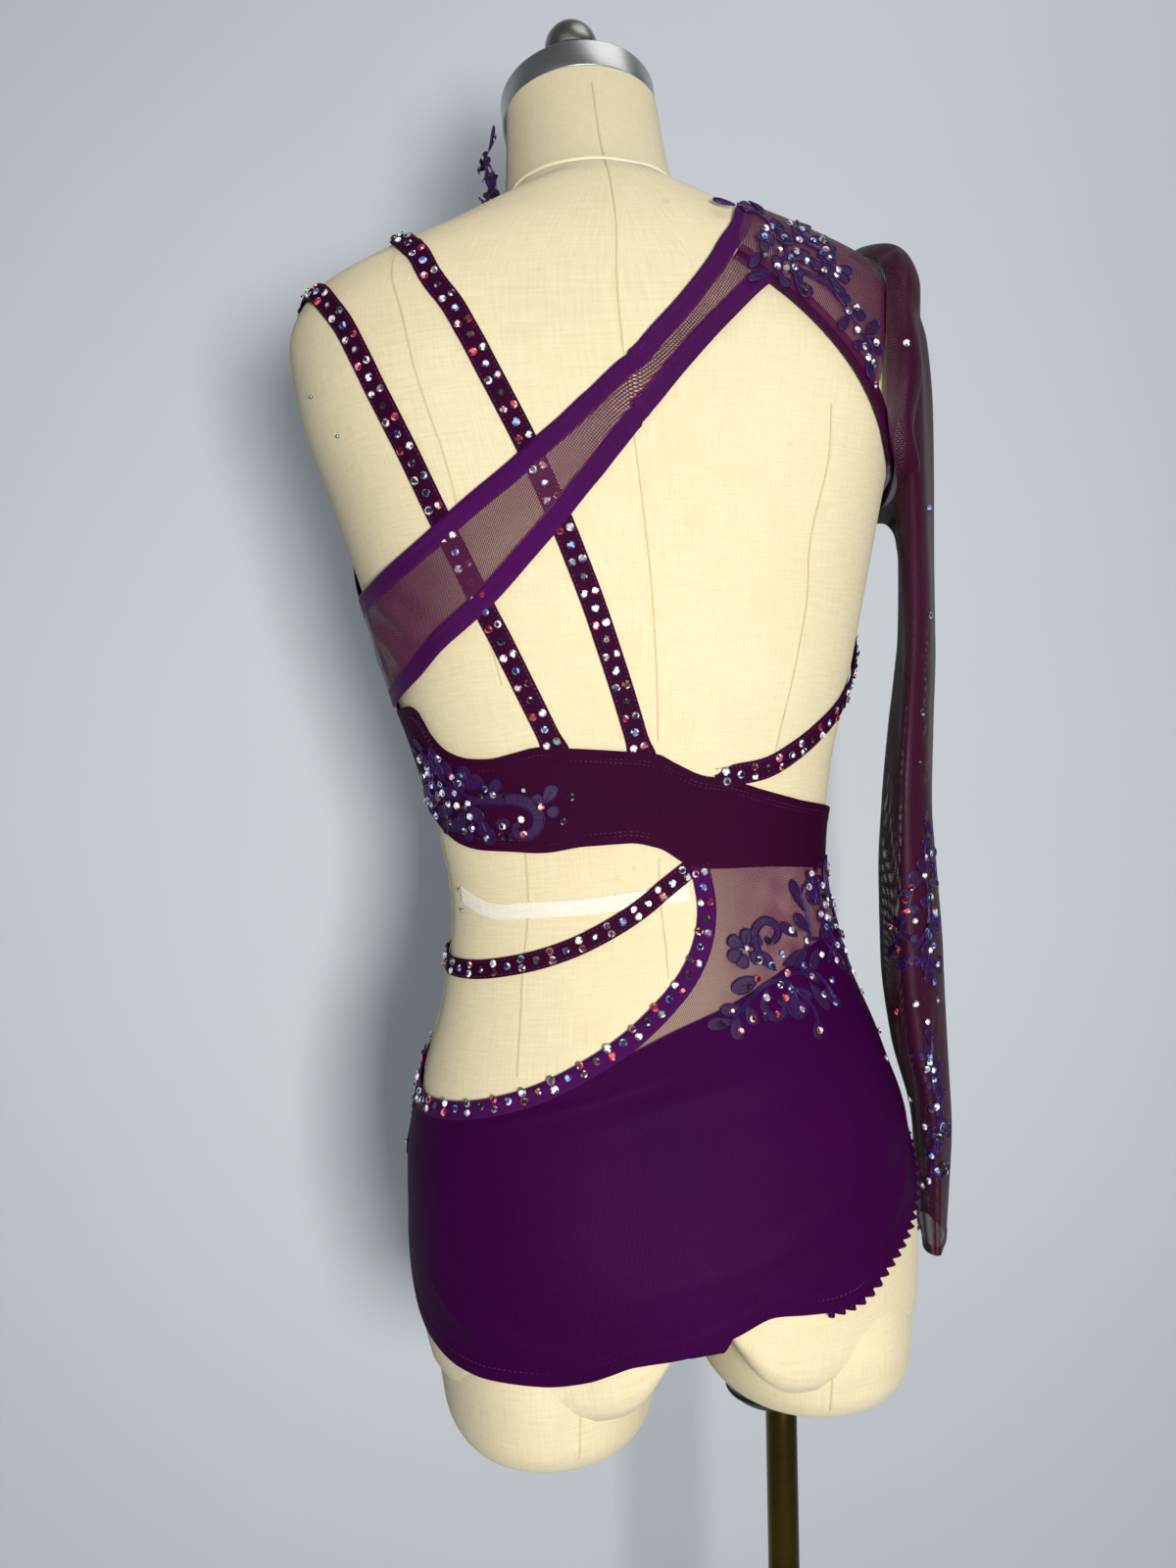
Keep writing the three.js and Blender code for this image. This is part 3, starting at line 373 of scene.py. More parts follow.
VALUE, VECTOR = "NodeSocketFloat", "NodeSocketVector"


def wave(t, place, axis, pitch):
    """A sine along one axis of the cloth, one turn each pitch."""
    parts = t.add("ShaderNodeSeparateXYZ", {0: place}, axis)
    return t.math("SINE", t.math("MULTIPLY", t.math("DIVIDE", parts, pitch), 2 * math.pi))


def build_weave(t, s):
    warp, weft = wave(t, s["Place"], 0, s["Pitch"]), wave(t, s["Place"], 1, s["Pitch"])
    over = t.math("MULTIPLY", warp, weft)
    slub = t.math("ADD", t.noise(s["Place"], 1.0, 2, 0.6, (0.05, 0.9, 1)),
                  t.noise(s["Place"], 1.0, 2, 0.6, (0.9, 0.05, 1)))
    slub = t.math("MULTIPLY", t.math("SUBTRACT", slub, 1.0), s["Slub"])
    height = t.math("ADD", t.math("MULTIPLY", over, 0.5), slub)
    return {"Height": height, "Shade": t.step(height, -1.0, 1.0)}


def build_knit(t, s):
    """Fine upright ribs of loops, as on stretch knits, with a scatter of loops painted brighter as
    glints, a painted highlight.
    """
    rib = wave(t, s["Place"], 0, s["Pitch"])
    loop = wave(t, t.add("ShaderNodeVectorMath", {0: s["Place"], 1: (0.35, 1, 1)}, operation="MULTIPLY"),
                1, s["Pitch"])
    height = t.math("ADD", t.math("MULTIPLY", rib, 0.5), t.math("MULTIPLY", loop, 0.35))
    painted_glint = t.step(t.noise(s["Place"], 2.2, 1, 0.5), 0.62, 0.74)
    return {"Height": height, "Shade": t.step(height, -0.8, 0.8), "Glint": painted_glint}


def build_net(t, s):
    """Staggered rows of small holes; Threads is 1 on the threads and 0 in the holes."""
    across = t.add("ShaderNodeSeparateXYZ", {0: s["Place"]}, 0)
    along = t.add("ShaderNodeSeparateXYZ", {0: s["Place"]}, 1)
    x = t.math("DIVIDE", t.math("MULTIPLY", across, math.pi), s["Pitch"])
    y = t.math("DIVIDE", t.math("MULTIPLY", along, math.pi * 0.62), s["Pitch"])
    one = t.math("COSINE", t.math("ADD", x, y))
    two = t.math("COSINE", t.math("SUBTRACT", x, y))
    hole = t.math("MULTIPLY", t.math("MULTIPLY", one, one), t.math("MULTIPLY", two, two))
    low = t.math("SUBTRACT", s["Hole"], 0.10)
    threads = t.math("SUBTRACT", 1.0, t.step(hole, low, s["Hole"]))
    return {"Threads": threads, "Height": t.math("SUBTRACT", 1.0, hole)}


def build_mottle(t, s):
    """Slow uneven change of shade, as from handling and light dust."""
    slow = t.noise(s["Place"], s["Scale"], 3, 0.55)
    return {"Value": t.math("MULTIPLY", t.math("SUBTRACT", slow, 0.5), s["Amount"])}


def build_brush(t, s):
    lines = t.noise(s["Place"], 1.0, 3, 0.7, (6.0, 6.0, 2600.0))
    return {"Lines": lines, "Height": lines}


WEAVE = group("plain weave", [("Place", VECTOR, None), ("Pitch", VALUE, 0.8), ("Slub", VALUE, 0.6)],
              [("Height", VALUE), ("Shade", VALUE)], build_weave)
KNIT = group("fine knit", [("Place", VECTOR, None), ("Pitch", VALUE, 0.7)],
             [("Height", VALUE), ("Shade", VALUE), ("Glint", VALUE)], build_knit)
NET = group("net mesh", [("Place", VECTOR, None), ("Pitch", VALUE, 1.4), ("Hole", VALUE, 0.3)],
            [("Threads", VALUE), ("Height", VALUE)], build_net)
MOTTLE = group("mottle", [("Place", VECTOR, None), ("Scale", VALUE, 10.0), ("Amount", VALUE, 0.3)],
               [("Value", VALUE)], build_mottle)
BRUSH = group("brushed lines", [("Place", VECTOR, None)], [("Lines", VALUE), ("Height", VALUE)],
              build_brush)


class Finish(Tree):
    """A material with one principled shader, and its effects."""

    def __init__(self, name, **constants):
        self.material = bpy.data.materials.new(name)
        self.material.use_nodes = True
        super().__init__(self.material.node_tree)
        self.shader = self.tree.nodes["Principled BSDF"]
        for label, value in constants.items():
            self.shader.inputs[label.replace("_", " ")].default_value = value
        self.solid = self.add("ShaderNodeTexCoord", output=3)

    def grain(self):
        """The cloth's own lengthwise and crosswise place, in millimetres."""
        return self.add("ShaderNodeAttribute", output=1, attribute_name="grain")

    def effect(self, tree, output=0, **inputs):
        node = self.tree.nodes.new("ShaderNodeGroup")
        node.node_tree = tree
        for label, value in inputs.items():
            self.set(node.inputs[label], value)
        return node.outputs[output] if isinstance(output, int) else [node.outputs[o] for o in output]

    def colour(self, value):
        self.set(self.shader.inputs["Base Color"], value)
        return self

    def rough(self, value):
        self.set(self.shader.inputs["Roughness"], value)
        return self

    def bump(self, height, strength, distance):
        normal = self.add("ShaderNodeBump", {"Height": height, "Strength": strength,
                                             "Distance": distance * MM})
        self.set(self.shader.inputs["Normal"], normal)
        return self

    def spread(self, value, low, high):
        """A value between 0 and 1 carried to the span a socket needs."""
        return self.step(value, 0.0, 1.0, low, high)


def linen_finish(name, dark, light, dust="#b9a27a"):
    f = Finish(name, Specular_IOR_Level=0.25, Sheen_Weight=0.12, Sheen_Roughness=0.6)
    height, shade = f.effect(WEAVE, ("Height", "Shade"), Place=f.grain(), Pitch=0.62, Slub=0.9)
    mottle = f.effect(MOTTLE, Place=f.solid, Scale=6.0, Amount=0.55)
    base = f.mix(f.math("ADD", shade, mottle), paint(dark), paint(light))
    spots = f.step(f.noise(f.solid, 55.0, 2), 0.72, 0.80, 0.0, 0.35)
    f.colour(f.mix(spots, base, paint(dust)))
    f.rough(f.spread(shade, 0.9, 0.75))
    return f.bump(height, 0.35, 0.25).material


def knit_finish(name, dark, light, painted_glint, sheen, rough, pitch=0.55, strength=0.3, specular=0.35):
    f = Finish(name, Specular_IOR_Level=specular, Sheen_Weight=sheen, Sheen_Roughness=0.35,
               Sheen_Tint=paint(light))
    height, shade, painted_glint_mask = f.effect(KNIT, ("Height", "Shade", "Glint"), Place=f.grain(), Pitch=pitch)
    mottle = f.effect(MOTTLE, Place=f.solid, Scale=14.0, Amount=0.5)
    base = f.mix(f.math("ADD", shade, mottle), paint(dark), paint(light))
    # scattered loops are mixed toward the glint colour: a painted highlight over the knit's own colour
    f.colour(f.mix(f.math("MULTIPLY", painted_glint_mask, 0.55), base, paint(painted_glint)))
    f.rough(f.spread(shade, rough + 0.1, rough - 0.05))
    return f.bump(height, strength, 0.18).material


def net_finish(name, dark, light, hole, pitch=1.15):
    f = Finish(name, Specular_IOR_Level=0.15, Sheen_Weight=0.04, Sheen_Roughness=0.4)
    threads, height = f.effect(NET, ("Threads", "Height"), Place=f.grain(), Pitch=pitch, Hole=hole)
    mottle = f.effect(MOTTLE, Place=f.solid, Scale=18.0, Amount=0.8)
    f.colour(f.mix(f.math("ADD", 0.5, mottle), paint(dark), paint(light)))
    f.rough(f.spread(height, 0.65, 0.5))
    f.set(f.shader.inputs["Alpha"], threads)
    return f.bump(height, 0.25, 0.15).material


def metal_finish(name, dark, light, rough, line=0.12, metallic=1.0):
    f = Finish(name, Metallic=metallic, Anisotropic=0.35 if line > 0.1 else 0.0)
    lines, height = f.effect(BRUSH, ("Lines", "Height"), Place=f.solid)
    mottle = f.effect(MOTTLE, Place=f.solid, Scale=26.0, Amount=0.5)
    f.colour(f.mix(f.math("ADD", lines, mottle), paint(dark), paint(light)))
    f.rough(f.spread(lines, rough, rough + line))
    return f.bump(height, 0.12, 0.05).material


LINEN = linen_finish("linen cover", "#c6b68e", "#e6dab8")
TAPE = linen_finish("waist tape", "#cfc6b4", "#f2ece0", "#bdb29c")
SEAM = linen_finish("seam thread", "#b5a67c", "#d8c9a0")
PIPING = linen_finish("neck seam", "#e0d4ae", "#f5edd2")
TRUNK = knit_finish("purple stretch knit", "#18011b", "#3d0342", "#561060", 0.0, 0.55, specular=0.03)
PLUM = knit_finish("plum stretch knit", "#1e0318", "#38072c", "#4c163e", 0.0, 0.62, specular=0.03)
SATIN = knit_finish("shiny purple binding", "#24022a", "#4e0858", "#7a2484", 0.0, 0.45, 0.75, 0.8, 0.07)
DULL_SATIN = knit_finish("plum binding", "#20031a", "#440a36", "#642054", 0.0, 0.45, 0.75, 0.8, 0.07)
NET_FINE = net_finish("plum net", "#451434", "#64244c", 0.20)
NET_HIP = net_finish("stretched plum net", "#552240", "#77395a", 0.14)
SLEEVE_NET = net_finish("sleeve net", "#28061c", "#461030", 0.46)
STEEL = metal_finish("brushed steel", "#8f9290", "#c9cbca", 0.26)
KNOB_STEEL = metal_finish("satin steel", "#6f736c", "#9ea198", 0.32, 0.05)
BRASS = metal_finish("dark brass tube", "#2e2610", "#6d5a26", 0.28, 0.08)
ENAMEL = metal_finish("dark green enamel", "#070f0b", "#101c15", 0.3, 0.05, 0.0)
THREAD = knit_finish("plum sewing thread", "#3a1038", "#6a2f62", "#8a5a88", 0.2, 0.45, 0.4)


def cord_finish(name, dark, light, painted_sheen):
    """Shiny twisted cord, its plies slanting round it, the crests of the plies painted lighter as a
    painted sheen.
    """
    f = Finish(name, Specular_IOR_Level=0.25, Sheen_Weight=0.0)
    ply = f.noise(f.solid, 1.0, 2, 0.6, (900.0, 900.0, 2300.0))
    mottle = f.effect(MOTTLE, Place=f.solid, Scale=60.0, Amount=0.9)
    base = f.mix(f.math("ADD", ply, mottle), paint(dark), paint(light))
    # the plies' crests are mixed toward the sheen colour: a painted highlight
    f.colour(f.mix(f.step(ply, 0.6, 0.75, 0.0, 0.6), base, paint(painted_sheen)))
    f.rough(f.spread(ply, 0.45, 0.25))
    return f.bump(ply, 0.5, 0.12).material


def stone_finish(name):
    """Foiled cut glass: each facet is painted a tone of its own, a painted reflection with the brightest
    tones painted glints, and it glows faintly in that tone as painted light.
    """
    f = Finish(name, Metallic=0.3, Specular_IOR_Level=0.8, Coat_Weight=1.0, Coat_Roughness=0.04,
               Emission_Strength=0.16)
    tint = f.add("ShaderNodeAttribute", output=0, attribute_name="tint")
    cloud = f.noise(f.solid, 700.0, 2)
    f.colour(f.mix(f.step(cloud, 0.5, 0.9, 0.0, 0.25), tint, paint("#20162c")))
    f.rough(f.spread(cloud, 0.05, 0.22))
    # the facets glow faintly in their painted tones: painted light
    f.set(f.shader.inputs["Emission Color"], tint)
    return f.bump(cloud, 0.05, 0.05).material


CORD = cord_finish("violet lace cord", "#1c0830", "#38165a", "#644490")
LACE_GROUND = knit_finish("lace ground", "#180424", "#330a44", "#4c1e60", 0.0, 0.5, 0.5)
STONE = stone_finish("cut stone")
# The cup's thin lower rim: a lighter metal whose colour is a painted highlight along the edge.
HIGHLIGHT_RIM = metal_finish("worn rim", "#2c302c", "#565c56", 0.3, 0.05, 0.4)


def take(obj, name, material, stands_for=None):
    """Names a finished piece, gives it its finish and hands it to the part's body."""
    obj.name = obj.data.name = name
    obj.data.materials.clear()
    obj.data.materials.append(material)
    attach(obj, "root")
    if stands_for:
        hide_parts(stands_for)


def choose(obj):
    """Makes an object the active one and the only selected one."""
    bpy.ops.object.select_all(action="DESELECT")
    bpy.context.view_layer.objects.active = obj
    obj.select_set(True)


def added(operator, **settings):
    """The object that one of Blender's add operators makes."""
    bpy.ops.object.select_all(action="DESELECT")
    operator(**settings)
    return bpy.context.object


def edit(obj, *steps):
    """Runs steps in edit mode with all of an object selected."""
    choose(obj)
    bpy.ops.object.mode_set(mode="EDIT")
    bpy.ops.mesh.select_all(action="SELECT")
    for step in steps:
        step()
    bpy.ops.object.mode_set(mode="OBJECT")


def finish_with(obj, kind, **settings):
    modifier = obj.modifiers.new(kind.lower(), kind)
    for key, value in settings.items():
        setattr(modifier, key, value)
    choose(obj)
    bpy.ops.object.modifier_apply(modifier=modifier.name)


def shade(obj, angle):
    choose(obj)
    bpy.ops.object.shade_smooth_by_angle(angle=math.radians(angle))


def set_grain(mesh, rows):
    """Stores each corner's place on its own cloth, in mm, which the finishes read."""
    place = mesh.attributes.new("grain", "FLOAT_VECTOR", "POINT")
    place.data.foreach_set("vector", rows.astype(np.float32).ravel())


def flat_grain(width, length, start=0.0):
    """The grain of cloth whose grid runs evenly across and along it."""
    return lambda u, v: np.stack([u * width, start + v * length, 0 * u], -1)


def laid(lay, across, along, thick, grain, closed=False, angle=40):
    """A flat grid whose corners are laid where lay(u, v, lift) says, then given its thickness."""
    obj = added(bpy.ops.mesh.primitive_grid_add, x_subdivisions=across, y_subdivisions=along, size=1)
    mesh = obj.data
    flat = np.empty(len(mesh.vertices) * 3)
    mesh.vertices.foreach_get("co", flat)
    u, v = flat[0::3] + 0.5, flat[1::3] + 0.5
    points = lay(u, v, 0.0)
    outward = lay(u, v, 1.0) - points
    mesh.vertices.foreach_set("co", (points * MM).ravel())
    set_grain(mesh, grain(u, v))
    mesh.update()
    face = mesh.polygons[len(mesh.polygons) // 2]
    if face.normal.dot(Vector(outward[face.vertices[0]])) < 0:
        edit(obj, bpy.ops.mesh.flip_normals)
    if closed:
        edit(obj, lambda: bpy.ops.mesh.remove_doubles(threshold=1e-6))
    if thick:
        finish_with(obj, "SOLIDIFY", thickness=thick * MM, offset=1)
    shade(obj, angle)
    return obj


def body_grain(place):
    """The grain of cloth on the form, from the angle and level that it lies at."""
    def rows(u, v):
        angle, level = place(u, v)
        return np.stack([np.radians(angle) * 140, level * np.ones_like(u), np.zeros_like(u)], -1)
    return rows


def strip(route, width, thick, lift, count, profile, rows=8, flare=0.0):
    """A band of cloth along a route, its section given by profile, with a flared foot."""
    def lay(u, v, up):
        wide = width * (1 + flare * np.exp(-(u * route.length / 7) ** 2))
        return route.surface(*route.beside(u, (v - 0.5) * wide), lift + profile(u, v) + up)
    return laid(lay, count, rows, thick, flat_grain(route.length, width), angle=60)


def turned(outline, segments, bevel):
    """A turned piece: a disc pushed up and resized through its outline of radius and height."""
    radius, height = outline[0]
    obj = added(bpy.ops.mesh.primitive_circle_add, vertices=segments, radius=radius * MM,
                fill_type="NGON", location=(0, 0, height * MM))
    bpy.ops.object.transform_apply(location=True)

    def push():
        now, level = radius, height
        for r, z in outline[1:]:
            bpy.ops.mesh.extrude_region_move(TRANSFORM_OT_translate={"value": (0, 0, (z - level) * MM)})
            bpy.ops.transform.resize(value=(r / now, r / now, 1))
            now, level = r, z
        bpy.ops.mesh.select_all(action="SELECT")
        bpy.ops.mesh.normals_make_consistent(inside=False)
    edit(obj, push)
    if bevel:
        finish_with(obj, "BEVEL", width=bevel * MM, segments=3, limit_method="ANGLE",
                    angle_limit=math.radians(35))
    shade(obj, 35)
    return obj


# ------------------------------------------------------------------ the form and its stand
def cleft(p, level, x0):
    """Draws the middle of the underside up between the thighs."""
    p[..., 2] += 24 * smooth(-level, 205, 246) * np.exp(-((x0 - POLE_TO_CENTRE) / 26) ** 2)
    return p


def torso_surface():
    """The form's whole skin, from the middle of its neck down to the middle of its underside."""
    levels = np.concatenate([np.linspace(NECK_TOP, 392, 30), np.linspace(390, 326, 34),
                             np.linspace(323, -246, 150)])
    tail = [(10, 0.985), (18, 0.955), (25, 0.9), (29, 0.8), (31, 0.5), (31, 0.25), (31, 0.02)]
    rows = ([("head", NECK_TOP, k) for k in (0.02, 0.4, 0.8, 0.96)]
            + [("skin", level, 1) for level in levels] + [("tail", drop, k) for drop, k in tail])

    def lay(u, v, up):
        angle = 180 + 360 * u
        pick = np.clip(np.round(v * (len(rows) - 1)).astype(int), 0, len(rows) - 1)
        out = np.empty(u.shape + (3,))
        for k in np.unique(pick):
            part = pick == k
            kind, value, shrink = rows[k]
            if kind == "skin":
                p = body_point(angle[part], value)
                step = body_point(angle[part] + 0.5, value) - body_point(angle[part] - 0.5, value)
                rise = body_point(angle[part], value + 1) - body_point(angle[part], value - 1)
                n = np.cross(step, rise)
                p = p + n / np.linalg.norm(n, axis=-1, keepdims=True) * (up - 0.2)
                p = cleft(p, value, p[..., 0])
            elif kind == "head":
                p = body_point(angle[part], value)
                middle = p.mean(0)
                p = middle + (p - middle) * shrink + np.array([0, 0, up])
            else:
                p = body_point(angle[part], -246.0)
                aside = (p[..., 0] - POLE_TO_CENTRE) * shrink
                fall = value * (1 - np.exp(-(aside / 26) ** 2))
                p = np.stack([POLE_TO_CENTRE + aside, p[..., 1] * shrink, p[..., 2] - fall - up], -1)
                p = cleft(p, -246.0, p[..., 0])
            out[part] = lean(p)
        return out
    return lay, len(rows) - 1


torso_lay, torso_rows = torso_surface()
take(laid(torso_lay, 192, torso_rows, 0, flat_grain(880, -760, 470), closed=True),
     "linen_cover", LINEN, "form_body")
THIGH_TOP, THIGH_BOTTOMS = -205, {"left": (1, -306.0), "right": (-1, -298.0)}
for word, (side, bottom) in THIGH_BOTTOMS.items():
    point = thigh_point(side, bottom)
    take(laid(lambda u, v, up: point(360 * u, THIGH_TOP + (bottom - 40 - THIGH_TOP) * v)
              - np.array([0, 0, 0.01]) * up,
              112, 60, 0, flat_grain(420, -150, THIGH_TOP), closed=True),
         f"thigh_cover_{word}", LINEN)

CAP_BACK, CAP_SLOPE = -10, math.radians(12)
FLANGE_HEIGHT, SEAT_GAP = 17, 0.3
CAP_LEVEL = NECK_TOP - PIVOT_LEVEL + math.tan(CAP_SLOPE) * CAP_BACK + 0.35
leaned = Matrix.Translation((0, 0, (WAIST_HEIGHT + PIVOT_LEVEL) * MM)) @ Matrix.Rotation(LEAN, 4, "Y")
cap_place = (leaned @ Matrix.Translation(Vector((POLE_TO_CENTRE, CAP_BACK, CAP_LEVEL)) * MM)
             @ Matrix.Rotation(CAP_SLOPE, 4, "X"))
cap = turned([(46, 0), (48.5, 0.8), (48.5, 9), (48.5, 18), (47.6, 19), (40, 19.2)], 128, 0.4)
cap.data.transform(cap_place)
take(cap, "steel_cap", STEEL, "neck_cap")
knob = turned([(9.3, 0), (9, 1), (9, 16), (9, 30.6), (12, 31.2), (15.8, 32.4), (17, 34.5), (17.1, 39),
               (16.6, 43), (15.2, 47), (12.8, 50.4), (9.6, 52.9), (6, 54.3), (2, 54.9)], 64, 0)
knob.data.transform(cap_place @ Matrix.Translation((0, 0, 19.3 * MM)))
take(knob, "cap_knob", KNOB_STEEL, "neck_knob")

foot = THIGH_BOTTOMS["right"][1] - PIVOT_LEVEL - SEAT_GAP - FLANGE_HEIGHT
cup = turned([(26, 0), (30, 0.6), (32.8, 3.5), (34.4, 9), (35, 15.6), (34.2, 16.8), (26, 16.9)], 96, 0.3)
cup_place = leaned @ Matrix.Translation((0, 0, foot * MM))
cup.data.transform(cup_place)
take(cup, "thigh_cup", ENAMEL, "thigh_flange")
pole_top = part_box("pole")[1].z / MM
pole = turned([(9.5, 10.3), (9.5, 40), (9.5, 400), (9.5, 560), (9.5, 700), (9.5, pole_top)], 64, 0.4)
take(pole, "brass_pole", BRASS, "pole")
plate = turned([(216, 0), (220, 1.2), (220, 7), (215, 10), (120, 12), (60, 13), (26, 14.5), (22, 20),
                (19.5, 33), (18, 34)], 160, 0.8)
take(plate, "round_base", ENAMEL, "base_plate")

# ------------------------------------------------------------------ edges of the costume
SASH_UPPER = [(-89, 178), (-67, 180), (-43.4, 194.9), (-22.3, 222), (-10.2, 245.8), (-4.7, 260.2),
              (-2.4, 267.8), (-0.3, 277.5), (2.8, 296.8), (11.8, 330), (18.5, 345), (27, 358), (40, 368),
              (60, 377), (90, 384), (122, 384), (150, 378), (180, 370), (208, 376), (228, 384)]
SASH_LOWER = [(-89, 124), (-78, 125), (-60, 134), (-47.1, 146.7), (-34.6, 160), (-24.9, 175),
              (-13.9, 199.5), (-6.2, 223.5), (-2.9, 237.1), (-1.2, 245.9), (-0.2, 253.1), (0.7, 261.2),
              (3.5, 276.8), (8.2, 295.4), (14.7, 313.8), (19, 323)]
ARMHOLE = [(15.5, 334), (19.5, 324), (25.6, 311), (32, 297.7), (38.7, 284.6), (46, 271), (53.6, 258),
           (62, 245), (75, 234), (88, 226)]
HIP_EDGE = [(10.6, 15.5), (12, -4), (11.3, -18), (9.1, -31), (5.6, -43.5), (1, -55.5), (-4.7, -67.4),
            (-11.3, -78.4), (-18.8, -88), (-27, -96.6), (-34, -102.3), (-42.6, -107), (-51.7, -110.3),
            (-62, -112), (-74, -112), (-86, -108), (-98, -97), (-109, -78), (-117, -56), (-122, -30),
            (-124, -6), (-125, 14)]
BINDING = 10.4
STRAP_WIDTHS = {"strap_outer": 12, "strap_inner": 12, "strap_side": 12, "strap_waist": 10.4}
STRAPS = {
    "strap_outer": [(-21.7, 82), (-24.8, 110), (-28.5, 140), (-31.2, 160), (-34.3, 187.5), (-36.8, 211),
                    (-38.6, 231), (-40.4, 252), (-42.4, 273), (-45.4, 295), (-50.5, 318), (-60, 337),
                    (-76, 349), (-92, 346), (-103, 328), (-108, 300), (-112, 248)],
    "strap_inner": [(-2.4, 76.5), (-4.9, 114), (-6.5, 136), (-8, 156), (-9.6, 176), (-11.1, 196),
                    (-13, 220), (-14.7, 241), (-16.2, 258), (-18.2, 278), (-20.8, 298), (-25, 319),
                    (-34.6, 345), (-55, 364), (-82, 373), (-104, 366), (-116, 345), (-123, 312),
                    (-127, 266)],
    "strap_side": [(14, 62.6), (28.6, 65.6), (38.8, 73.6), (51, 86.5), (65, 103), (77, 124), (86, 142),
                   (89, 146)],
    "strap_waist": [(8.6, 14), (1.6, 3.6), (-3.4, -4.8), (-9.6, -12.8), (-17.4, -20.6), (-25.8, -27),
                    (-36, -32), (-48.5, -35.3), (-62, -36.6), (-81, -35), (-98, -30), (-114, -24),
                    (-123, -20)]}
band_top = edge((-90, 117), (-70, 116), (-65, 112), (-62, 99), (-57, 89), (-48, 83), (-41, 82),
                (-33, 84), (-26, 86), (-18, 84), (-5, 80), (0, 78), (4, 72), (11, 64), (16, 62),
                (29, 54), (37, 50), (47, 46), (66, 42), (90, 38))
band_bottom = edge((-90, 58), (-80, 52), (-72, 44), (-63, 36), (-54, 32), (-42, 30), (-30, 28),
                   (-18, 30), (-7, 30), (0, 26), (4, 20), (6.5, 16), (13.5, 12), (31, 10), (66, 4),
                   (90, 0))
trunk_top = edge((-90, -106), (-74, -112), (-62, -112), (-52, -109), (-43, -104), (-34, -100),
                 (-28, -97), (-19, -92), (-9, -82), (2, -72), (13.5, -64), (28.5, -52), (48, -38),
                 (77.5, -32), (90, -30))
back_hem = edge((-90, -196), (-85, -212), (-79, -226), (-67, -238), (-56, -244), (-46, -246),
                (-32, -246), (-21, -243), (-17, -240), (-12, -236), (-3, -234), (3.5, -226),
                (10.5, -219), (16.5, -221), (23.5, -223), (32, -221), (38.5, -212), (45.5, -204),
                (60, -188), (75, -168), (90, -148))
front_hem = edge((90, -148), (105, -138), (122, -142), (140, -164), (155, -196), (168, -226),
                 (174, -238), (186, -238), (192, -228), (208, -204), (225, -186), (245, -180),
                 (260, -186), (270, -196))
bodice_top = edge((90, 222), (105, 240), (124, 262), (142, 250), (162, 226), (180, 214), (198, 228),
                  (215, 250), (232, 262), (248, 238), (260, 206), (270, 188))
waist_seam = edge((90, 0), (180, -4), (222, 0), (233, 14), (240, 26), (255, 46), (270, 58))
cut_out_front = edge((234, 15.5), (236.5, 8), (240, -40), (246, -66), (254, -84), (262, -97), (270, -106))


def trunk_front_top(angle):
    return np.where(angle < 234, waist_seam(angle), cut_out_front(angle)) - 0.4


def hem_lane(distance, deep=7.0, raised=0.5, rows=HEM_ROWS):
    """The turned edge: a raised lane with a small dip under each row of stitches."""
    lane = raised * (1 - smooth(distance, deep, deep + 1.4))
    for at in rows:
        lane = lane - 0.35 * np.exp(-((distance - at) / 0.7) ** 2)
    return lane


def cloth(place, across, along, surface, lift, thick, relief=None):
    """Cloth whose place(u, v) is its angle and level on a surface, and whose relief raises it."""
    def lay(u, v, up):
        angle, level = place(u, v)
        return surface(angle, level, lift + up + (relief(angle, level, u, v) if relief else 0))
    return laid(lay, across, along, thick, body_grain(place))


def panel(low, high, start, end, *rest):
    """A panel between a lower and an upper edge, from one angle to another."""
    def place(u, v):
        angle = start + (end - start) * u
        return angle, low(angle) + (high(angle) - low(angle)) * v
    return cloth(place, *rest)


def patch(bottom, right, top, left, *rest):
    """A panel between four edges, each a function of its share giving angle and level."""
    ends = ((bottom, 0), (bottom, 1), (top, 0), (top, 1))
    corner = [np.array(e(np.array([t]))).reshape(2, 1) for e, t in ends]

    def place(u, v):
        b, t, l, r = (np.array(e(s)) for e, s in ((bottom, u), (top, u), (left, v), (right, v)))
        p = (1 - v) * b + v * t + (1 - u) * l + u * r
        p = p - ((1 - u) * (1 - v) * corner[0] + u * (1 - v) * corner[1]
                 + (1 - u) * v * corner[2] + u * v * corner[3])
        return p[0], p[1]
    return cloth(place, *rest)


# ------------------------------------------------------------------ trunk and bodice
def leg_lane(hem):
    """The turned leg edge above a hem."""
    return lambda a, l, u, v: hem_lane(l - hem(a), 9.0, 0.45, (LEG_ROW,))


take(panel(back_hem, trunk_top, -SIDE, SIDE, 220, 96, on_trunk, KNIT_LIFT, KNIT_THICK,
           leg_lane(back_hem)), "trunk_back_cloth", TRUNK, "trunk_back")
take(panel(front_hem, trunk_front_top, 180 - SIDE, 180 + SIDE, 150, 100, on_trunk, KNIT_LIFT, KNIT_THICK,
           leg_lane(front_hem)), "trunk_front_cloth", TRUNK, "trunk_front")
take(panel(band_bottom, band_top, -SIDE, SIDE, 150, 56, on_form, KNIT_LIFT, KNIT_THICK,
           lambda a, l, u, v: hem_lane(band_top(a) - l)
           + np.where(a < 8, hem_lane(l - band_bottom(a)), 0)),
     "back_band_cloth", PLUM, "back_band")
take(panel(waist_seam, bodice_top, 180 - SIDE, 180 + SIDE, 130, 80, on_form, KNIT_LIFT, KNIT_THICK,
           lambda a, l, u, v: hem_lane(bodice_top(a) - l)), "bodice_front_cloth", PLUM,
     "bodice_front")

GUSSET = [(8, 102, 62.5), (7, 60, 68), (7, 0, 68.5), (7, -50, 68.5), (9, -74, 63)]


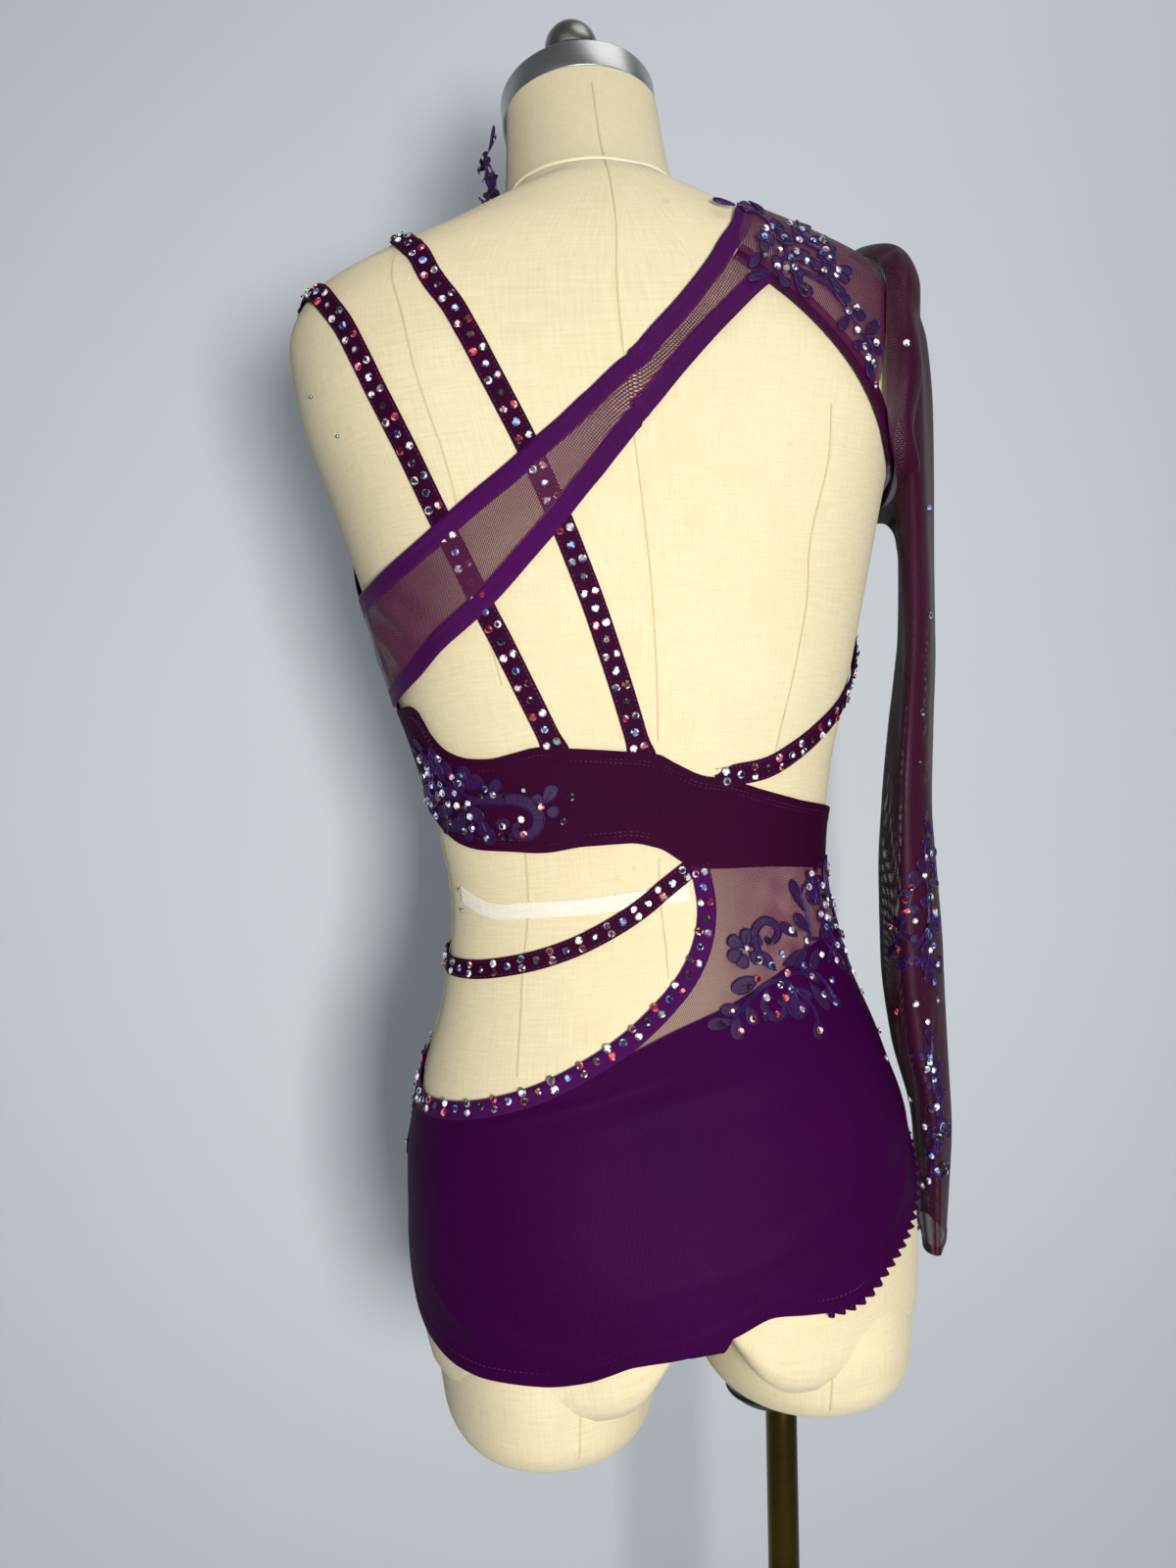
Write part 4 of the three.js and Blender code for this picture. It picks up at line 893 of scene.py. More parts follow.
def gusset_lay(u, v, up):
    """A strip between the legs from hem to hem, through the sections of GUSSET."""
    x = 2 * u - 1
    rows = [lean(np.array([[POLE_TO_CENTRE + t * h, y, z] for t in np.linspace(-1, 1, 9)]))
            for h, y, z in GUSSET]
    cols = np.linspace(-1, 1, 9)
    first = on_form(-cols * 3.5, back_hem(-cols * 3.5) + 3, 1.6)
    last = on_form(180 + cols * 3.5, front_hem(180 + cols * 3.5) + 3, 1.6)
    rows = np.array([first, *rows, last])
    shares = np.linspace(0, 1, len(rows))
    out = np.empty(u.shape + (3,))
    for k in range(3):
        columns = np.array([steady(shares, rows[:, c, k])(v) for c in range(9)])
        spot = np.clip((x + 1) / 2 * 8, 0, 7.999)
        i = spot.astype(int)
        w = spot - i
        out[..., k] = columns[i, np.arange(len(u))] * (1 - w) + columns[i + 1, np.arange(len(u))] * w
    out[..., 2] -= up + 1.2
    return out


take(laid(gusset_lay, 10, 60, 0.8, flat_grain(22.0, 220.0)), "gusset_cloth", TRUNK, "gusset")


# ------------------------------------------------------------------ nets
def along(route, start=0.0, end=1.0):
    return lambda t: route.at(start + (end - start) * t)


def straight(a, b):
    return lambda t: (a[0] + (b[0] - a[0]) * t, a[1] + (b[1] - a[1]) * t)


neckline = Route(on_form, SASH_UPPER, 900)
lower = Route(on_form, SASH_LOWER)
armhole = Route(on_form, ARMHOLE)
hip = Route(on_folds, HIP_EDGE)
SASH_END = neckline.listed[9]


def sash_folds(angle, level, u, v):
    """Slanting pulls in the net where it is drawn to the side."""
    near = np.exp(-((angle + 66) / 20) ** 2)
    return (0.9 * near * np.sin(angle * 0.36 + level * 0.22) * np.sin(np.pi * v)
            + 0.35 * np.sin(angle * 0.22 - level * 0.16) * np.sin(np.pi * v))


def hip_pulls(angle, level, u, v):
    """Pulls that run from the stitched stones and the seam into the net."""
    inside = np.sin(np.pi * np.clip(v, 0, 1)) * np.sin(np.pi * np.clip(u, 0, 1))
    return inside * (0.5 * np.sin(angle * 0.30 + level * 0.34)
                     + 0.35 * np.sin(angle * 0.62 - level * 0.12))


def sash_top_end(t):
    """The short seam at the diagonal band's top corner."""
    return np.interp(t, [0, 1], [19, 12.7]), np.interp(t, [0, 1], [324, 333])


take(patch(along(lower), sash_top_end, along(neckline, 0.0, SASH_END), straight((-89, 124), (-89, 178)),
           150, 40, on_form, 3.5, NET_THICK, sash_folds), "sash_net", NET_FINE, "sash_mesh")
hip_top = edge((10.6, 16.5), (13.5, 15.6), (31, 13.4), (66, 7.4), (90, 3.4))
take(patch(lambda t: (-27 + 116.95 * t, trunk_top(-27 + 116.95 * t) - 3),
           straight((SIDE, -33), (SIDE, 3.4)),
           lambda t: (10.6 + 79.35 * t, hip_top(10.6 + 79.35 * t)),
           lambda t: hip.at(hip.listed[9] * (1 - t)), 120, 44, on_folds, 1.1, NET_THICK, hip_pulls),
     "hip_net", NET_HIP, "hip_mesh")
back_edge = Route(on_form, [(15.5, 334), (19.5, 324), (25, 308), (31.5, 296), (38, 284), (46, 269),
                            (49, 294), (52, 322), (60, 345), (73, 357), (SIDE, 361)])
front_edge = Route(on_form, [(90.3, 361), (107, 357), (120, 345), (127, 322), (129, 294), (128, 266),
                             (142, 250.5), (162, 226.5), (180, 214.5), (198, 228.5), (212, 246.5),
                             (224, 257)])
turn_index = edge((0, 14), (0.45, 15.3), (1, 19))


def listed_at(route, index):
    """A route at the index of one of its listed points, or part of the way to the next."""
    return route.at(np.interp(index, np.arange(len(route.listed)), route.listed))


def between(route, high, along_count):
    """A yoke from a route, shared out by its listed points, to a function of the share."""
    shares = np.linspace(0, 1, len(route.listed))

    def place(u, v):
        a, b = route.at(np.interp(u, shares, route.listed)), high(u)
        return a[0] + (b[0] - a[0]) * v, a[1] + (b[1] - a[1]) * v
    return cloth(place, 90, along_count, on_form, 3.8, 0.3)


take(between(back_edge, lambda u: listed_at(neckline, 10 + 4 * u), 40),
     "shoulder_net", NET_FINE, "shoulder_yoke")
take(between(front_edge, lambda u: listed_at(neckline, turn_index(u)), 50),
     "front_net", NET_FINE, "front_yoke")
take(laid(lambda u, v, up: on_sleeve(180 + 360 * u, 15 * v, up), 150, 170, 0.3, flat_grain(330, 640),
          closed=True), "sleeve_net", SLEEVE_NET, "sleeve")


# ------------------------------------------------------------------ bindings and straps
def binding_profile(high=1.0, split=0.6):
    """A folded binding: a full lane to the edge, a row of stitching, and a flatter lane."""
    def profile(u, v):
        tuck = smooth(u, 0, 0.035)
        full = np.sqrt(np.clip(np.sin(np.pi * np.clip(v / split, 0, 1)), 0, 1))
        flat = np.sqrt(np.clip(np.sin(np.pi * np.clip((v - split) / (1 - split), 0, 1)), 0, 1))
        return high * tuck * np.where(v < split, full, 0.62 * flat)
    return profile


for name, solid, material, route, lift, count, profile in (
        ("neckline_edge", "neckline_binding", SATIN, neckline, 3.0, 260,
         lambda u, v: binding_profile(1.0, 0.4)(u, 1 - v)),
        ("sash_lower_edge", "sash_binding_lower", SATIN, lower, 3.0, 130, binding_profile(1.0, 0.55)),
        ("armhole_edge", "armhole_binding", DULL_SATIN, armhole, 3.0, 90, binding_profile(0.9, 0.55)),
        ("hip_edge", "hip_binding", SATIN, hip, 1.4, 220, binding_profile(1.2, 0.7))):
    take(strip(route, BINDING, 0.5, lift, count, profile), name, material, solid)


def strap_profile(u, v):
    return 0.7 * smooth(u, 0.005, 0.04) * np.sqrt(np.clip(np.sin(np.pi * np.clip(v, 0, 1)), 0, 1))


FEET = {"strap_outer": 0.22, "strap_inner": 0.22, "strap_side": -0.8, "strap_waist": 0.0}
ROUTES = {name: Route(on_form, points) for name, points in STRAPS.items()}
for name, route in ROUTES.items():
    take(strip(route, STRAP_WIDTHS[name], 0.6, 1.2, 40 + int(route.length / 3), strap_profile,
               flare=FEET[name]),
         f"{name}_cloth", PLUM, name)


# ------------------------------------------------------------------ small shapes that repeat
def shape_of(obj):
    """The corners, in mm, and faces of a small shape that is modelled once and then copied.

    Blender lists the faces in an order that changes from run to run, and each stone's tones are
    drawn face by face, so the faces are put in the order of their middles.
    """
    corners = np.array([tuple(v.co) for v in obj.data.vertices]) / MM
    faces = [tuple(p.vertices) for p in sorted(obj.data.polygons,
                                               key=lambda p: tuple(round(c, 7) for c in p.center))]
    bpy.data.objects.remove(obj)
    return corners, faces


GEM = shape_of(turned([(0.84, 0), (1.0, 0.24), (0.97, 0.34), (0.58, 0.66)], 8, 0))
STITCH = shape_of(added(bpy.ops.mesh.primitive_uv_sphere_add, segments=6, ring_count=4, radius=MM))


def spots(surface, a, b, lift, spin=0.0, heading=None):
    """Places on a surface with the axes of what is set there."""
    a, b, lift = (np.asarray(v, float) * np.ones(np.shape(a)) for v in (a, b, lift))
    p = surface(a, b, lift)
    out = surface(a, b, lift + 1) - p
    out /= np.linalg.norm(out, axis=-1, keepdims=True)
    run = surface(a + 0.3, b, lift) - p if heading is None else heading
    run = run - (run * out).sum(-1, keepdims=True) * out
    run /= np.linalg.norm(run, axis=-1, keepdims=True)
    side = np.cross(out, run)
    spin = np.asarray(spin, float)[..., None] * np.ones((len(p), 1))
    x = run * np.cos(spin) + side * np.sin(spin)
    return p, x, np.cross(out, x), out


def copies(name, shape, places, scale, material, tints_and_glints=None, smooth_faces=False):
    """One piece of many copies of a small shape."""
    corners, faces = shape
    p, x, y, out = places
    scale = np.ones((len(p), 3)) * np.asarray(scale, float)
    spread = corners[None] * scale[:, None]
    points = p[:, None]
    for k, axis in enumerate((x, y, out)):
        points = points + spread[..., k:k + 1] * axis[:, None]
    mesh = bpy.data.meshes.new(name)
    count = len(corners)
    mesh.from_pydata((points.reshape(-1, 3) * MM).tolist(), [],
                     [tuple(i + k * count for i in f) for k in range(len(p)) for f in faces])
    if tints_and_glints is not None:
        # each face gets its stone's painted facet tone: painted reflections and glints
        layer = mesh.color_attributes.new("tint", "FLOAT_COLOR", "CORNER")
        sizes = np.tile([len(f) for f in faces], len(p))
        layer.data.foreach_set("color", np.repeat(tints_and_glints, sizes, axis=0).astype(np.float32).ravel())
    else:
        set_grain(mesh, points)
    obj = linked(name, mesh)
    if smooth_faces:
        shade(obj, 80)
    take(obj, name, material)


# ------------------------------------------------------------------ stones
# Each kind is a stone colour; its dark, middle and bright facet tones are painted reflections, and the
# bright tones are painted glints.
STONE_TONES = [  # dark, middle and bright facets of each kind
    (("#231a2e", "#3b2440", "#1c2b33"), ("#8c7b9c", "#b05a6a", "#6fa59a"),
     ("#fdf6f2", "#e6f7f0", "#f7c8cf")),
    (("#2a060f", "#450a18", "#1a0510"), ("#8f1f35", "#b8324a", "#6a1030"),
     ("#ff8c96", "#ffe3de", "#ff5a6a")),
    (("#10132e", "#1b2352", "#0c0e20"), ("#3c4f93", "#5c74b4", "#7a8fc4"),
     ("#dbe6ff", "#f4f8ff", "#9db8ff")),
    (("#2b2733", "#4c4855", "#1e1a26"), ("#a9a6b4", "#c9c6cf", "#8b8794"),
     ("#ffffff", "#f6f4ff", "#fffdf2")),
    (("#0c070f", "#1a0d1c", "#120a16"), ("#2e1a30", "#3a2233", "#24142a"),
     ("#f2e9ee", "#c8b6c4", "#a03048"))]
STONE_SHARES = [(0.42, 0.34), (0.40, 0.36), (0.40, 0.34), (0.30, 0.34), (0.66, 0.24)]  # dark and middle


def facet_tints_and_glints(kinds, rng):
    """A random tone of its kind for every facet of every stone: a painted reflection, the bright tones
    painted glints.
    """
    rows = []
    for kind in kinds:
        dark, middle = STONE_SHARES[kind]
        for _ in GEM[1]:
            roll = rng.random()
            tone = 0 if roll < dark else 1 if roll < dark + middle else 2
            rows.append(paint(STONE_TONES[kind][tone][rng.integers(3)]))
    return np.array(rows)


def stones(name, sets, radius=2.2):
    """Stones on their places: each set gives a surface, angles, levels, lifts and kinds."""
    rng = np.random.default_rng(SEED + len(name))
    parts = [spots(surface, a, b, lift, rng.random(len(a)) * 6.28) for surface, a, b, lift, _ in sets]
    kinds = np.concatenate([k for *_, k in sets])
    sizes = radius * (0.9 + 0.2 * rng.random(len(kinds)))
    scale = np.stack([sizes, sizes, sizes * 1.15], -1)
    places = [np.concatenate([part[k] for part in parts]) for k in range(4)]
    copies(name, GEM, places, scale, STONE, facet_tints_and_glints(kinds, rng))


def stones_at(surface, rows, lift):
    """Stones listed by angle, level and kind."""
    rows = np.array(rows)
    return surface, rows[:, 0], rows[:, 1], np.full(len(rows), lift), rows[:, 2].astype(int)


STONE_PITCH = 8.7


def stone_rows(route, lift, start, end, pair, aside=0.0):
    """Along a strap: a pair, one blue, a pair, one dark, over and over."""
    a, b, kinds = [], [], []
    for i, at in enumerate(np.arange(start, route.length - end, STONE_PITCH)):
        s = at / route.length
        offsets = (-pair, pair) if i % 2 == 0 else (0.0,)
        for k, off in enumerate(offsets):
            x, y = route.beside(np.array([s]), off + aside)
            a.append(x[0])
            b.append(y[0])
            kinds.append([0, 3, 1][(i // 2 + k) % 3] if i % 2 == 0 else [2, 4][(i // 2) % 2])
    a, b = np.array(a), np.array(b)
    return route.surface, a, b, np.full(len(a), lift), np.array(kinds)


for name, route in ROUTES.items():
    stones(f"stones_{name}", [stone_rows(route, 2.35, 6.0, 5.0, 2.9 if STRAP_WIDTHS[name] > 11 else 2.5)])
stones("stones_hip_edge", [stone_rows(hip, 2.9, 5.0, 5.0, 2.5, -1.4)])


# ------------------------------------------------------------------ stitching
STITCH_SIZE = (0.95, 0.21, 0.17)


def stitches(name, rows, pitch=2.7):
    """Rows of machine stitches: each row gives a route, a distance to its side and a lift."""
    parts = []
    for route, aside, lift, *reach in rows:
        start, end = reach or (0.0, 1.0)
        s = np.arange(start * route.length + 1.5, end * route.length - 1, pitch) / route.length
        _, _, run, _ = route.frame(s)
        a, b = route.beside(s, aside)
        parts.append(spots(route.surface, a, b, lift, 0.0, run))
    places = [np.concatenate([part[k] for part in parts]) for k in range(4)]
    copies(name, STITCH, places, STITCH_SIZE, THREAD, smooth_faces=True)


def edge_route(curve, start, end, surface=on_form):
    """The route of an edge, with a point about every four degrees."""
    angles = np.linspace(start, end, max(3, int(abs(end - start) / 4.0)))
    return Route(surface, [(a, float(curve(a))) for a in angles], 900)


top_route, bottom_route = edge_route(band_top, -89, 89), edge_route(band_bottom, -89, 89)
stitches("band_stitching", [(top_route, -row, 2.3) for row in HEM_ROWS]
         + [(bottom_route, row, 2.3, 0.0, 0.5) for row in HEM_ROWS])
stitches("strap_stitching", [(route, side * (STRAP_WIDTHS[name] / 2 - 1.2), 2.15)
                             for name, route in ROUTES.items() for side in (-1, 1)])
stitches("hip_edge_stitching", [(hip, 1.9, 2.25), (hip, 4.3, 2.2)])
stitches("neckline_stitching", [
    (neckline, 0.9, 3.75), (neckline, -4.3, 3.7), (lower, 0.7, 3.75), (lower, -4.2, 3.7),
    (lower, 4.2, 3.7), (armhole, 0.7, 3.7), (armhole, -4.2, 3.6)])
hem_route = edge_route(back_hem, -89, 89, on_trunk)
front_hem_route = edge_route(front_hem, 91, 269, on_trunk)
stitches("hem_stitching", [(hem_route, LEG_ROW, 2.35), (front_hem_route, LEG_ROW, 2.35)], 3.1)
bodice_route = edge_route(bodice_top, 91, 269)
stitches("bodice_stitching", [(bodice_route, -row, 2.3) for row in HEM_ROWS])


# ------------------------------------------------------------------ corded lace
CORD_RADIUS = 0.46


class Lace:
    """Cord outlines, net grounds and stones of one spray of lace."""

    def __init__(self, surface, lift, seed):
        self.surface, self.lift = surface, lift
        self.cords, self.grounds, self.spots = [], [], []
        self.rng = np.random.default_rng(SEED + seed)

    def line(self, a, b, radius, closed=False, lift=0.0):
        self.cords.append((self.surface(a, b, self.lift + lift), radius, closed))

    def leaf(self, a0, b0, a1, b1, broad, vein=True):
        root = self.surface(np.array([a0]), np.array([b0]))[0]
        tip = self.surface(np.array([a1]), np.array([b1]))[0]
        long = np.linalg.norm(tip - root)
        if long < 2:
            return
        _, _, _, out = (v[0] for v in spots(self.surface, np.array([a0]), np.array([b0]), 0.0))
        side = np.cross(out, (tip - root) / long)
        t = np.linspace(0, 2 * np.pi, 18, endpoint=False)
        share = 0.5 - 0.5 * np.cos(t)
        wide = broad / 2 * 1.12 * np.sin(t) * np.abs(np.sin(t / 2)) ** 0.7
        sa, sb = step_on(self.surface, np.full(len(t), a0), np.full(len(t), b0),
                         side[None] * wide[:, None])
        a, b = sa + (a1 - a0) * share, sb + (b1 - b0) * share
        self.line(a, b, CORD_RADIUS, True)
        self.grounds.append((a, b))
        if vein and long > 8:
            s = np.linspace(0.1, 0.66, 5)
            self.line(a0 + (a1 - a0) * s, b0 + (b1 - b0) * s, CORD_RADIUS * 0.6)

    def stem(self, points, double=True):
        route = Route(self.surface, points, 80)
        s = np.linspace(0, 1, max(8, int(route.length / 2.2)))
        for aside in ((-0.65, 0.65) if double else (0.0,)):
            self.line(*route.beside(s, aside), CORD_RADIUS)

    def scroll(self, points, broad):
        """A curled band with a cord round it and fine bars across it."""
        route = Route(self.surface, points, 120)
        count = 26
        s = np.linspace(0.01, 0.99, count)
        wide = broad / 2 * (0.3 + 0.7 * np.sin(np.pi * s) ** 0.6)
        one, two = route.beside(s, wide), route.beside(s, -wide)

        def ring(rows):
            return [np.concatenate([p[rows], q[rows][::-1]]) for p, q in zip(one, two)]
        self.line(*ring(slice(0, count)), 0.5, True)
        for k in range(2, count - 2):
            self.line(*ring(slice(k, k + 1)), 0.2, lift=-0.2)
        for k in range(0, count - 1, 4):
            self.grounds.append(tuple(ring(slice(k, min(k + 5, count)))))

    def tangle(self, low, high, count):
        """Crowded small leaves where the lace is thick, inside a box of angle and level."""
        for k in range(count):
            a0 = low[0] + (high[0] - low[0]) * self.rng.random()
            b0 = low[1] + (high[1] - low[1]) * self.rng.random()
            p, x, y, _ = (v[0] for v in spots(self.surface, np.array([a0]), np.array([b0]), 0.0))
            turn = self.rng.random() * 6.28
            move = (x * math.cos(turn) + y * math.sin(turn)) * self.rng.uniform(8, 13)
            a1, b1 = step_on(self.surface, np.array([a0]), np.array([b0]), move[None])
            self.leaf(a0, b0, a1[0], b1[0], self.rng.uniform(4.5, 6.5), k % 2 == 0)
            if k % 2 == 0:
                self.spots.append((a0, b0, int(self.rng.choice([0, 2, 2, 3, 4]))))

    def sprig(self, points, leaves):
        """A stem with leaves: share along it, turn from it, length and breadth."""
        route = Route(self.surface, points, 80)
        self.stem(points, False)
        for share, turn, long, broad in leaves:
            a, b, run, out = (v[0] for v in route.frame(np.array([share])))
            turn = math.radians(turn)
            move = (run * math.cos(turn) + np.cross(out, run) * math.sin(turn)) * long
            a1, b1 = step_on(self.surface, np.array([a]), np.array([b]), move[None])
            self.leaf(a, b, a1[0], b1[0], broad)
            self.spots.append(((a + a1[0]) / 2, (b + b1[0]) / 2, int(self.rng.choice([0, 2, 3, 3, 4]))))

    def finish(self, name, stands_for):
        """Makes the three pieces of the spray: its cords, its grounds and its stones."""
        curve = bpy.data.curves.new(name, "CURVE")
        curve.dimensions, curve.bevel_depth, curve.bevel_resolution = "3D", 1.0 * MM, 1
        curve.use_fill_caps = True
        for points, radius, closed in self.cords:
            spline = curve.splines.new("POLY")
            spline.points.add(len(points) - 1)
            rows = np.concatenate([points * MM, np.ones((len(points), 1))], 1)
            spline.points.foreach_set("co", rows.ravel())
            spline.points.foreach_set("radius", np.full(len(points), radius))
            spline.use_cyclic_u = closed
        choose(linked(name, curve))
        bpy.ops.object.convert(target="MESH")
        cords = bpy.context.object
        shade(cords, 60)
        take(cords, f"{name}_cords", CORD, stands_for)
        corners, faces = [], []
        for a, b in self.grounds:
            n, first = len(a), len(corners)
            ring, under = self.surface(a, b, self.lift - 0.15), self.surface(a, b, self.lift - 0.5)
            corners += [*ring, *under, ring.mean(0), under.mean(0)]
            for i in range(n):
                j = (i + 1) % n
                faces += [(first + i, first + j, first + 2 * n),
                          (first + n + j, first + n + i, first + 2 * n + 1),
                          (first + i, first + n + i, first + n + j, first + j)]
        mesh = bpy.data.meshes.new(name)
        mesh.from_pydata((np.array(corners) * MM).tolist(), [], faces)
        set_grain(mesh, np.array(corners))
        ground = linked(name, mesh)
        edit(ground, lambda: bpy.ops.mesh.normals_make_consistent(inside=False))
        shade(ground, 50)
        take(ground, f"{name}_ground", LACE_GROUND)
        if self.spots:
            stones(f"{name}_stones", [stones_at(self.surface, self.spots, self.lift + 0.25)], 2.1)


# Leaves: root and tip as angle and level, then breadth in mm. Stones: angle, level and kind.
HIP_LEAVES = [
    (13.4, -72.2, 7, -72.6, 7), (14.5, -69.4, 13.4, -81.8, 8), (16.9, -66.9, 11, -66, 7),
    (17.9, -65.1, 18.8, -75.7, 7.5), (38, -78.4, 35, -88.4, 6.5), (45.6, -63.7, 49.8, -74.5, 6.5),
    (40.7, -31.9, 35, -23.9, 7), (47.6, -31.7, 42.1, -19.7, 7), (23.2, -51.4, 15.2, -56.4, 9.5),
    (32.5, -55, 32, -75.4, 7), (40.3, -58.2, 44.1, -74.9, 7), (47.3, -19, 42.7, 0.4, 7),
    (60.4, -10.8, 51.7, 3.7, 7), (69.2, -20, 69.4, 8.5, 8), (48.4, -41, 43.4, -51.1, 7),
    (58.3, -43.4, 63.2, -56.4, 8), (52.8, -50.1, 61.4, -40.6, 6), (32.4, -46.6, 42.2, -41.8, 6.5),
    (29.3, -48.6, 25.5, -37.9, 7), (55, -20.5, 62.9, -33.8, 7), (55.6, -30, 78, -30, 7),
    (37.9, -48, 44.8, -58.4, 7), (34.4, -59.9, 38.9, -66.7, 6), (76, -4.2, 78, -18, 6),
    (52.1, -5.3, 57.1, -16.2, 6.5)]
HIP_FLOWER = [
    (21.3, -33.6, 23, -24.1, 8.5), (20.1, -33.4, 16.8, -27.7, 8), (19.8, -36, 15.8, -38.9, 8),
    (20.8, -37.9, 18.9, -44.9, 7.5), (22.4, -37.1, 24.8, -43.1, 7), (22.8, -34, 26.9, -29.9, 7)]
HIP_STEMS = [
    [(15.5, -69.7), (20.2, -60.4), (26.5, -54.5), (33.7, -51.9), (40, -43.5), (46.5, -33.8),
     (48.1, -20.3), (47.1, -7.3), (54.1, 0.3), (63.4, 8)],
    [(13.4, -71.7), (18.9, -62.2), (25.4, -55.8), (31.2, -54.1)],
    [(33.7, -51.9), (43.3, -53.4), (47.2, -60.2), (49, -69.7)],
    [(45.8, -34.8), (54.3, -37.8), (57.4, -45.5)],
    [(31.2, -54.6), (35, -62.3), (38.3, -72), (38, -78.4)]]
HIP_SCROLLS = [
    [(26.8, -45.2), (24.7, -33.9), (25.4, -25.7), (28.7, -20.9), (32.4, -22.8), (33.5, -28.6),
     (30.6, -33), (28.2, -30.2)],
    [(25, -58.4), (22.6, -65.9), (23.8, -72.5), (27.3, -73), (28.9, -68.2), (27, -64.9)],
    [(31.7, -62.5), (30.4, -70.7), (32.2, -74.4), (35.5, -71.1), (34.3, -67)]]
HIP_STONES = [
    (51.5, -5.2, 3), (63.1, -17.8, 3), (55.9, -22.4, 3), (60.1, -25, 3), (78, -25.4, 3), (38.4, -28, 3),
    (44.1, -35.5, 3), (49.6, -44.7, 3), (32.7, -40.6, 2), (24.3, -41.9, 3), (28.1, -45.5, 2),
    (21.2, -34.7, 0), (22.8, -51.8, 1), (32.8, -51.1, 0), (41.9, -55.3, 0), (29.4, -56.9, 3),
    (32.5, -60.5, 2), (44.1, -66.6, 3), (47.5, -72.1, 2), (24, -62.5, 3), (29.7, -64.1, 1),
    (25.7, -72, 1), (13.7, -67.1, 1), (18.5, -72.6, 1), (14.7, -77.6, 1), (10.3, -73.4, 4),
    (21.8, -72.4, 4), (33.9, -71.7, 0), (36.8, -84.3, 1), (80, -0.1, 1), (58.3, 3.9, 1),
    (57.8, -30.4, 2), (67, -31.7, 2), (57.9, -50.2, 3), (71.1, -47.4, 3), (39.9, -48.5, 2), (20, -56, 4),
    (29.1, -33.2, 4), (60.1, -11.9, 4), (50.6, -60, 2), (72, -61, 3), (78, -38, 0)]
SHOULDER_LEAVES = [
    (23.9, 357.7, 19.9, 359.5, 4.5), (27.5, 355.3, 25.1, 357.1, 5), (26.4, 351.8, 36, 366, 5),
    (28.2, 346.1, 28.2, 351.5, 7), (30.7, 345.6, 48, 362, 7), (23.3, 331, 30, 334.9, 8),
    (19, 332.6, 15.9, 324.8, 6), (19.4, 322.4, 15, 318.7, 6), (21, 321.7, 22.7, 316.1, 7),
    (32, 333.6, 37.6, 337.4, 6), (24.2, 319.4, 27.1, 312.1, 9), (29.8, 322, 34.5, 330, 7),
    (32.5, 323.9, 35.9, 315.9, 6.5), (33.2, 316, 37.3, 312.9, 6), (36.1, 305, 33.3, 297.2, 6),
    (36.8, 306.2, 41.8, 307.2, 7), (41.4, 297.9, 46.4, 305.1, 7.5), (42, 295.7, 47.6, 290.5, 7),
    (41.2, 292, 37.1, 290.5, 6), (41.9, 287.3, 43.5, 275.5, 6.5), (22.8, 336.9, 23.6, 344.1, 7),
    (26.5, 337.9, 27.9, 345.6, 7), (31.1, 339.5, 37.7, 346.1, 7), (29.3, 332.7, 30.9, 326.8, 7),
    (22.6, 327, 20.8, 330.5, 6.5), (25.1, 327.6, 26.7, 323.1, 6)]
SHOULDER_STEMS = [
    [(24.9, 358.6), (27.2, 356.3), (26.5, 349.9), (26.1, 341.8), (24.6, 331.3), (27, 325.2),
     (31.5, 319.5), (35.4, 310.7), (38.9, 301), (41.9, 292.2), (44.1, 277.2)],
    [(26.1, 341.8), (31, 341.5), (34.4, 337.6)],
    [(23.3, 331), (20.6, 323.6), (17.4, 320)]]
SHOULDER_STONES = [
    (23, 333.9, 3), (31.8, 350.4, 2), (26.4, 341.4, 2), (33.5, 348.2, 2), (29.6, 341, 3),
    (33.7, 342.6, 2), (38.1, 345.8, 0), (33.3, 336.1, 2), (21, 325.7, 3), (22.7, 325.1, 3),
    (24.5, 330.8, 2), (27.7, 329.7, 2), (34.4, 325.1, 0), (31.3, 326.5, 0), (26, 315.4, 4),
    (36, 306.9, 3), (38.5, 309.9, 3), (38.2, 298.2, 3), (40.5, 290.7, 3), (44.5, 294.2, 3),
    (41.6, 285.7, 3), (43.8, 283.5, 0), (45.2, 273.2, 4), (19.2, 330.2, 4), (25.5, 346.7, 2),
    (26.7, 334.4, 3)]
BUST_LEAVES = [
    (-28.5, 53.4, -30.1, 60.7, 6.5), (-27.8, 55.5, -23.9, 64.6, 8), (-27.3, 52.1, -24.2, 49.5, 7),
    (-66, 76.8, -72.1, 85.5, 7), (-58.5, 73.2, -59.9, 83, 7), (-51.2, 69.6, -52.3, 79.8, 8),
    (-45.5, 67.2, -49.6, 73.8, 8), (-44.2, 62, -40.2, 70.4, 7), (-56.4, 61.7, -64.6, 67.6, 7),
    (-61.3, 58.1, -71.9, 54.2, 7), (-52.9, 56.3, -49.4, 48.2, 8), (-55.8, 51, -64.8, 44.8, 8),
    (-50, 49.4, -48.1, 36.9, 8), (-57.6, 46.6, -56.6, 37.5, 6), (-65.6, 64.2, -80.5, 60.3, 6.5),
    (-71.9, 71.6, -88, 64.5, 6), (-44.5, 47.7, -39.7, 45, 6.5), (-46.3, 43.5, -49.2, 34.8, 7)]
BUST_STEMS = [
    [(-67.5, 88.4), (-65, 77.9), (-58.8, 68.2), (-50.5, 60.5)],
    [(-50.7, 59.4), (-54.8, 50.9), (-51.3, 41.7), (-48.3, 35.8)]]
BUST_SCROLLS = [
    [(-53.1, 60.2), (-44.5, 59.8), (-36.6, 58.8), (-31.6, 54.9), (-30.1, 47.1), (-32.7, 39.8),
     (-37.2, 38.6), (-38.6, 42.7), (-36.3, 45.7)]]
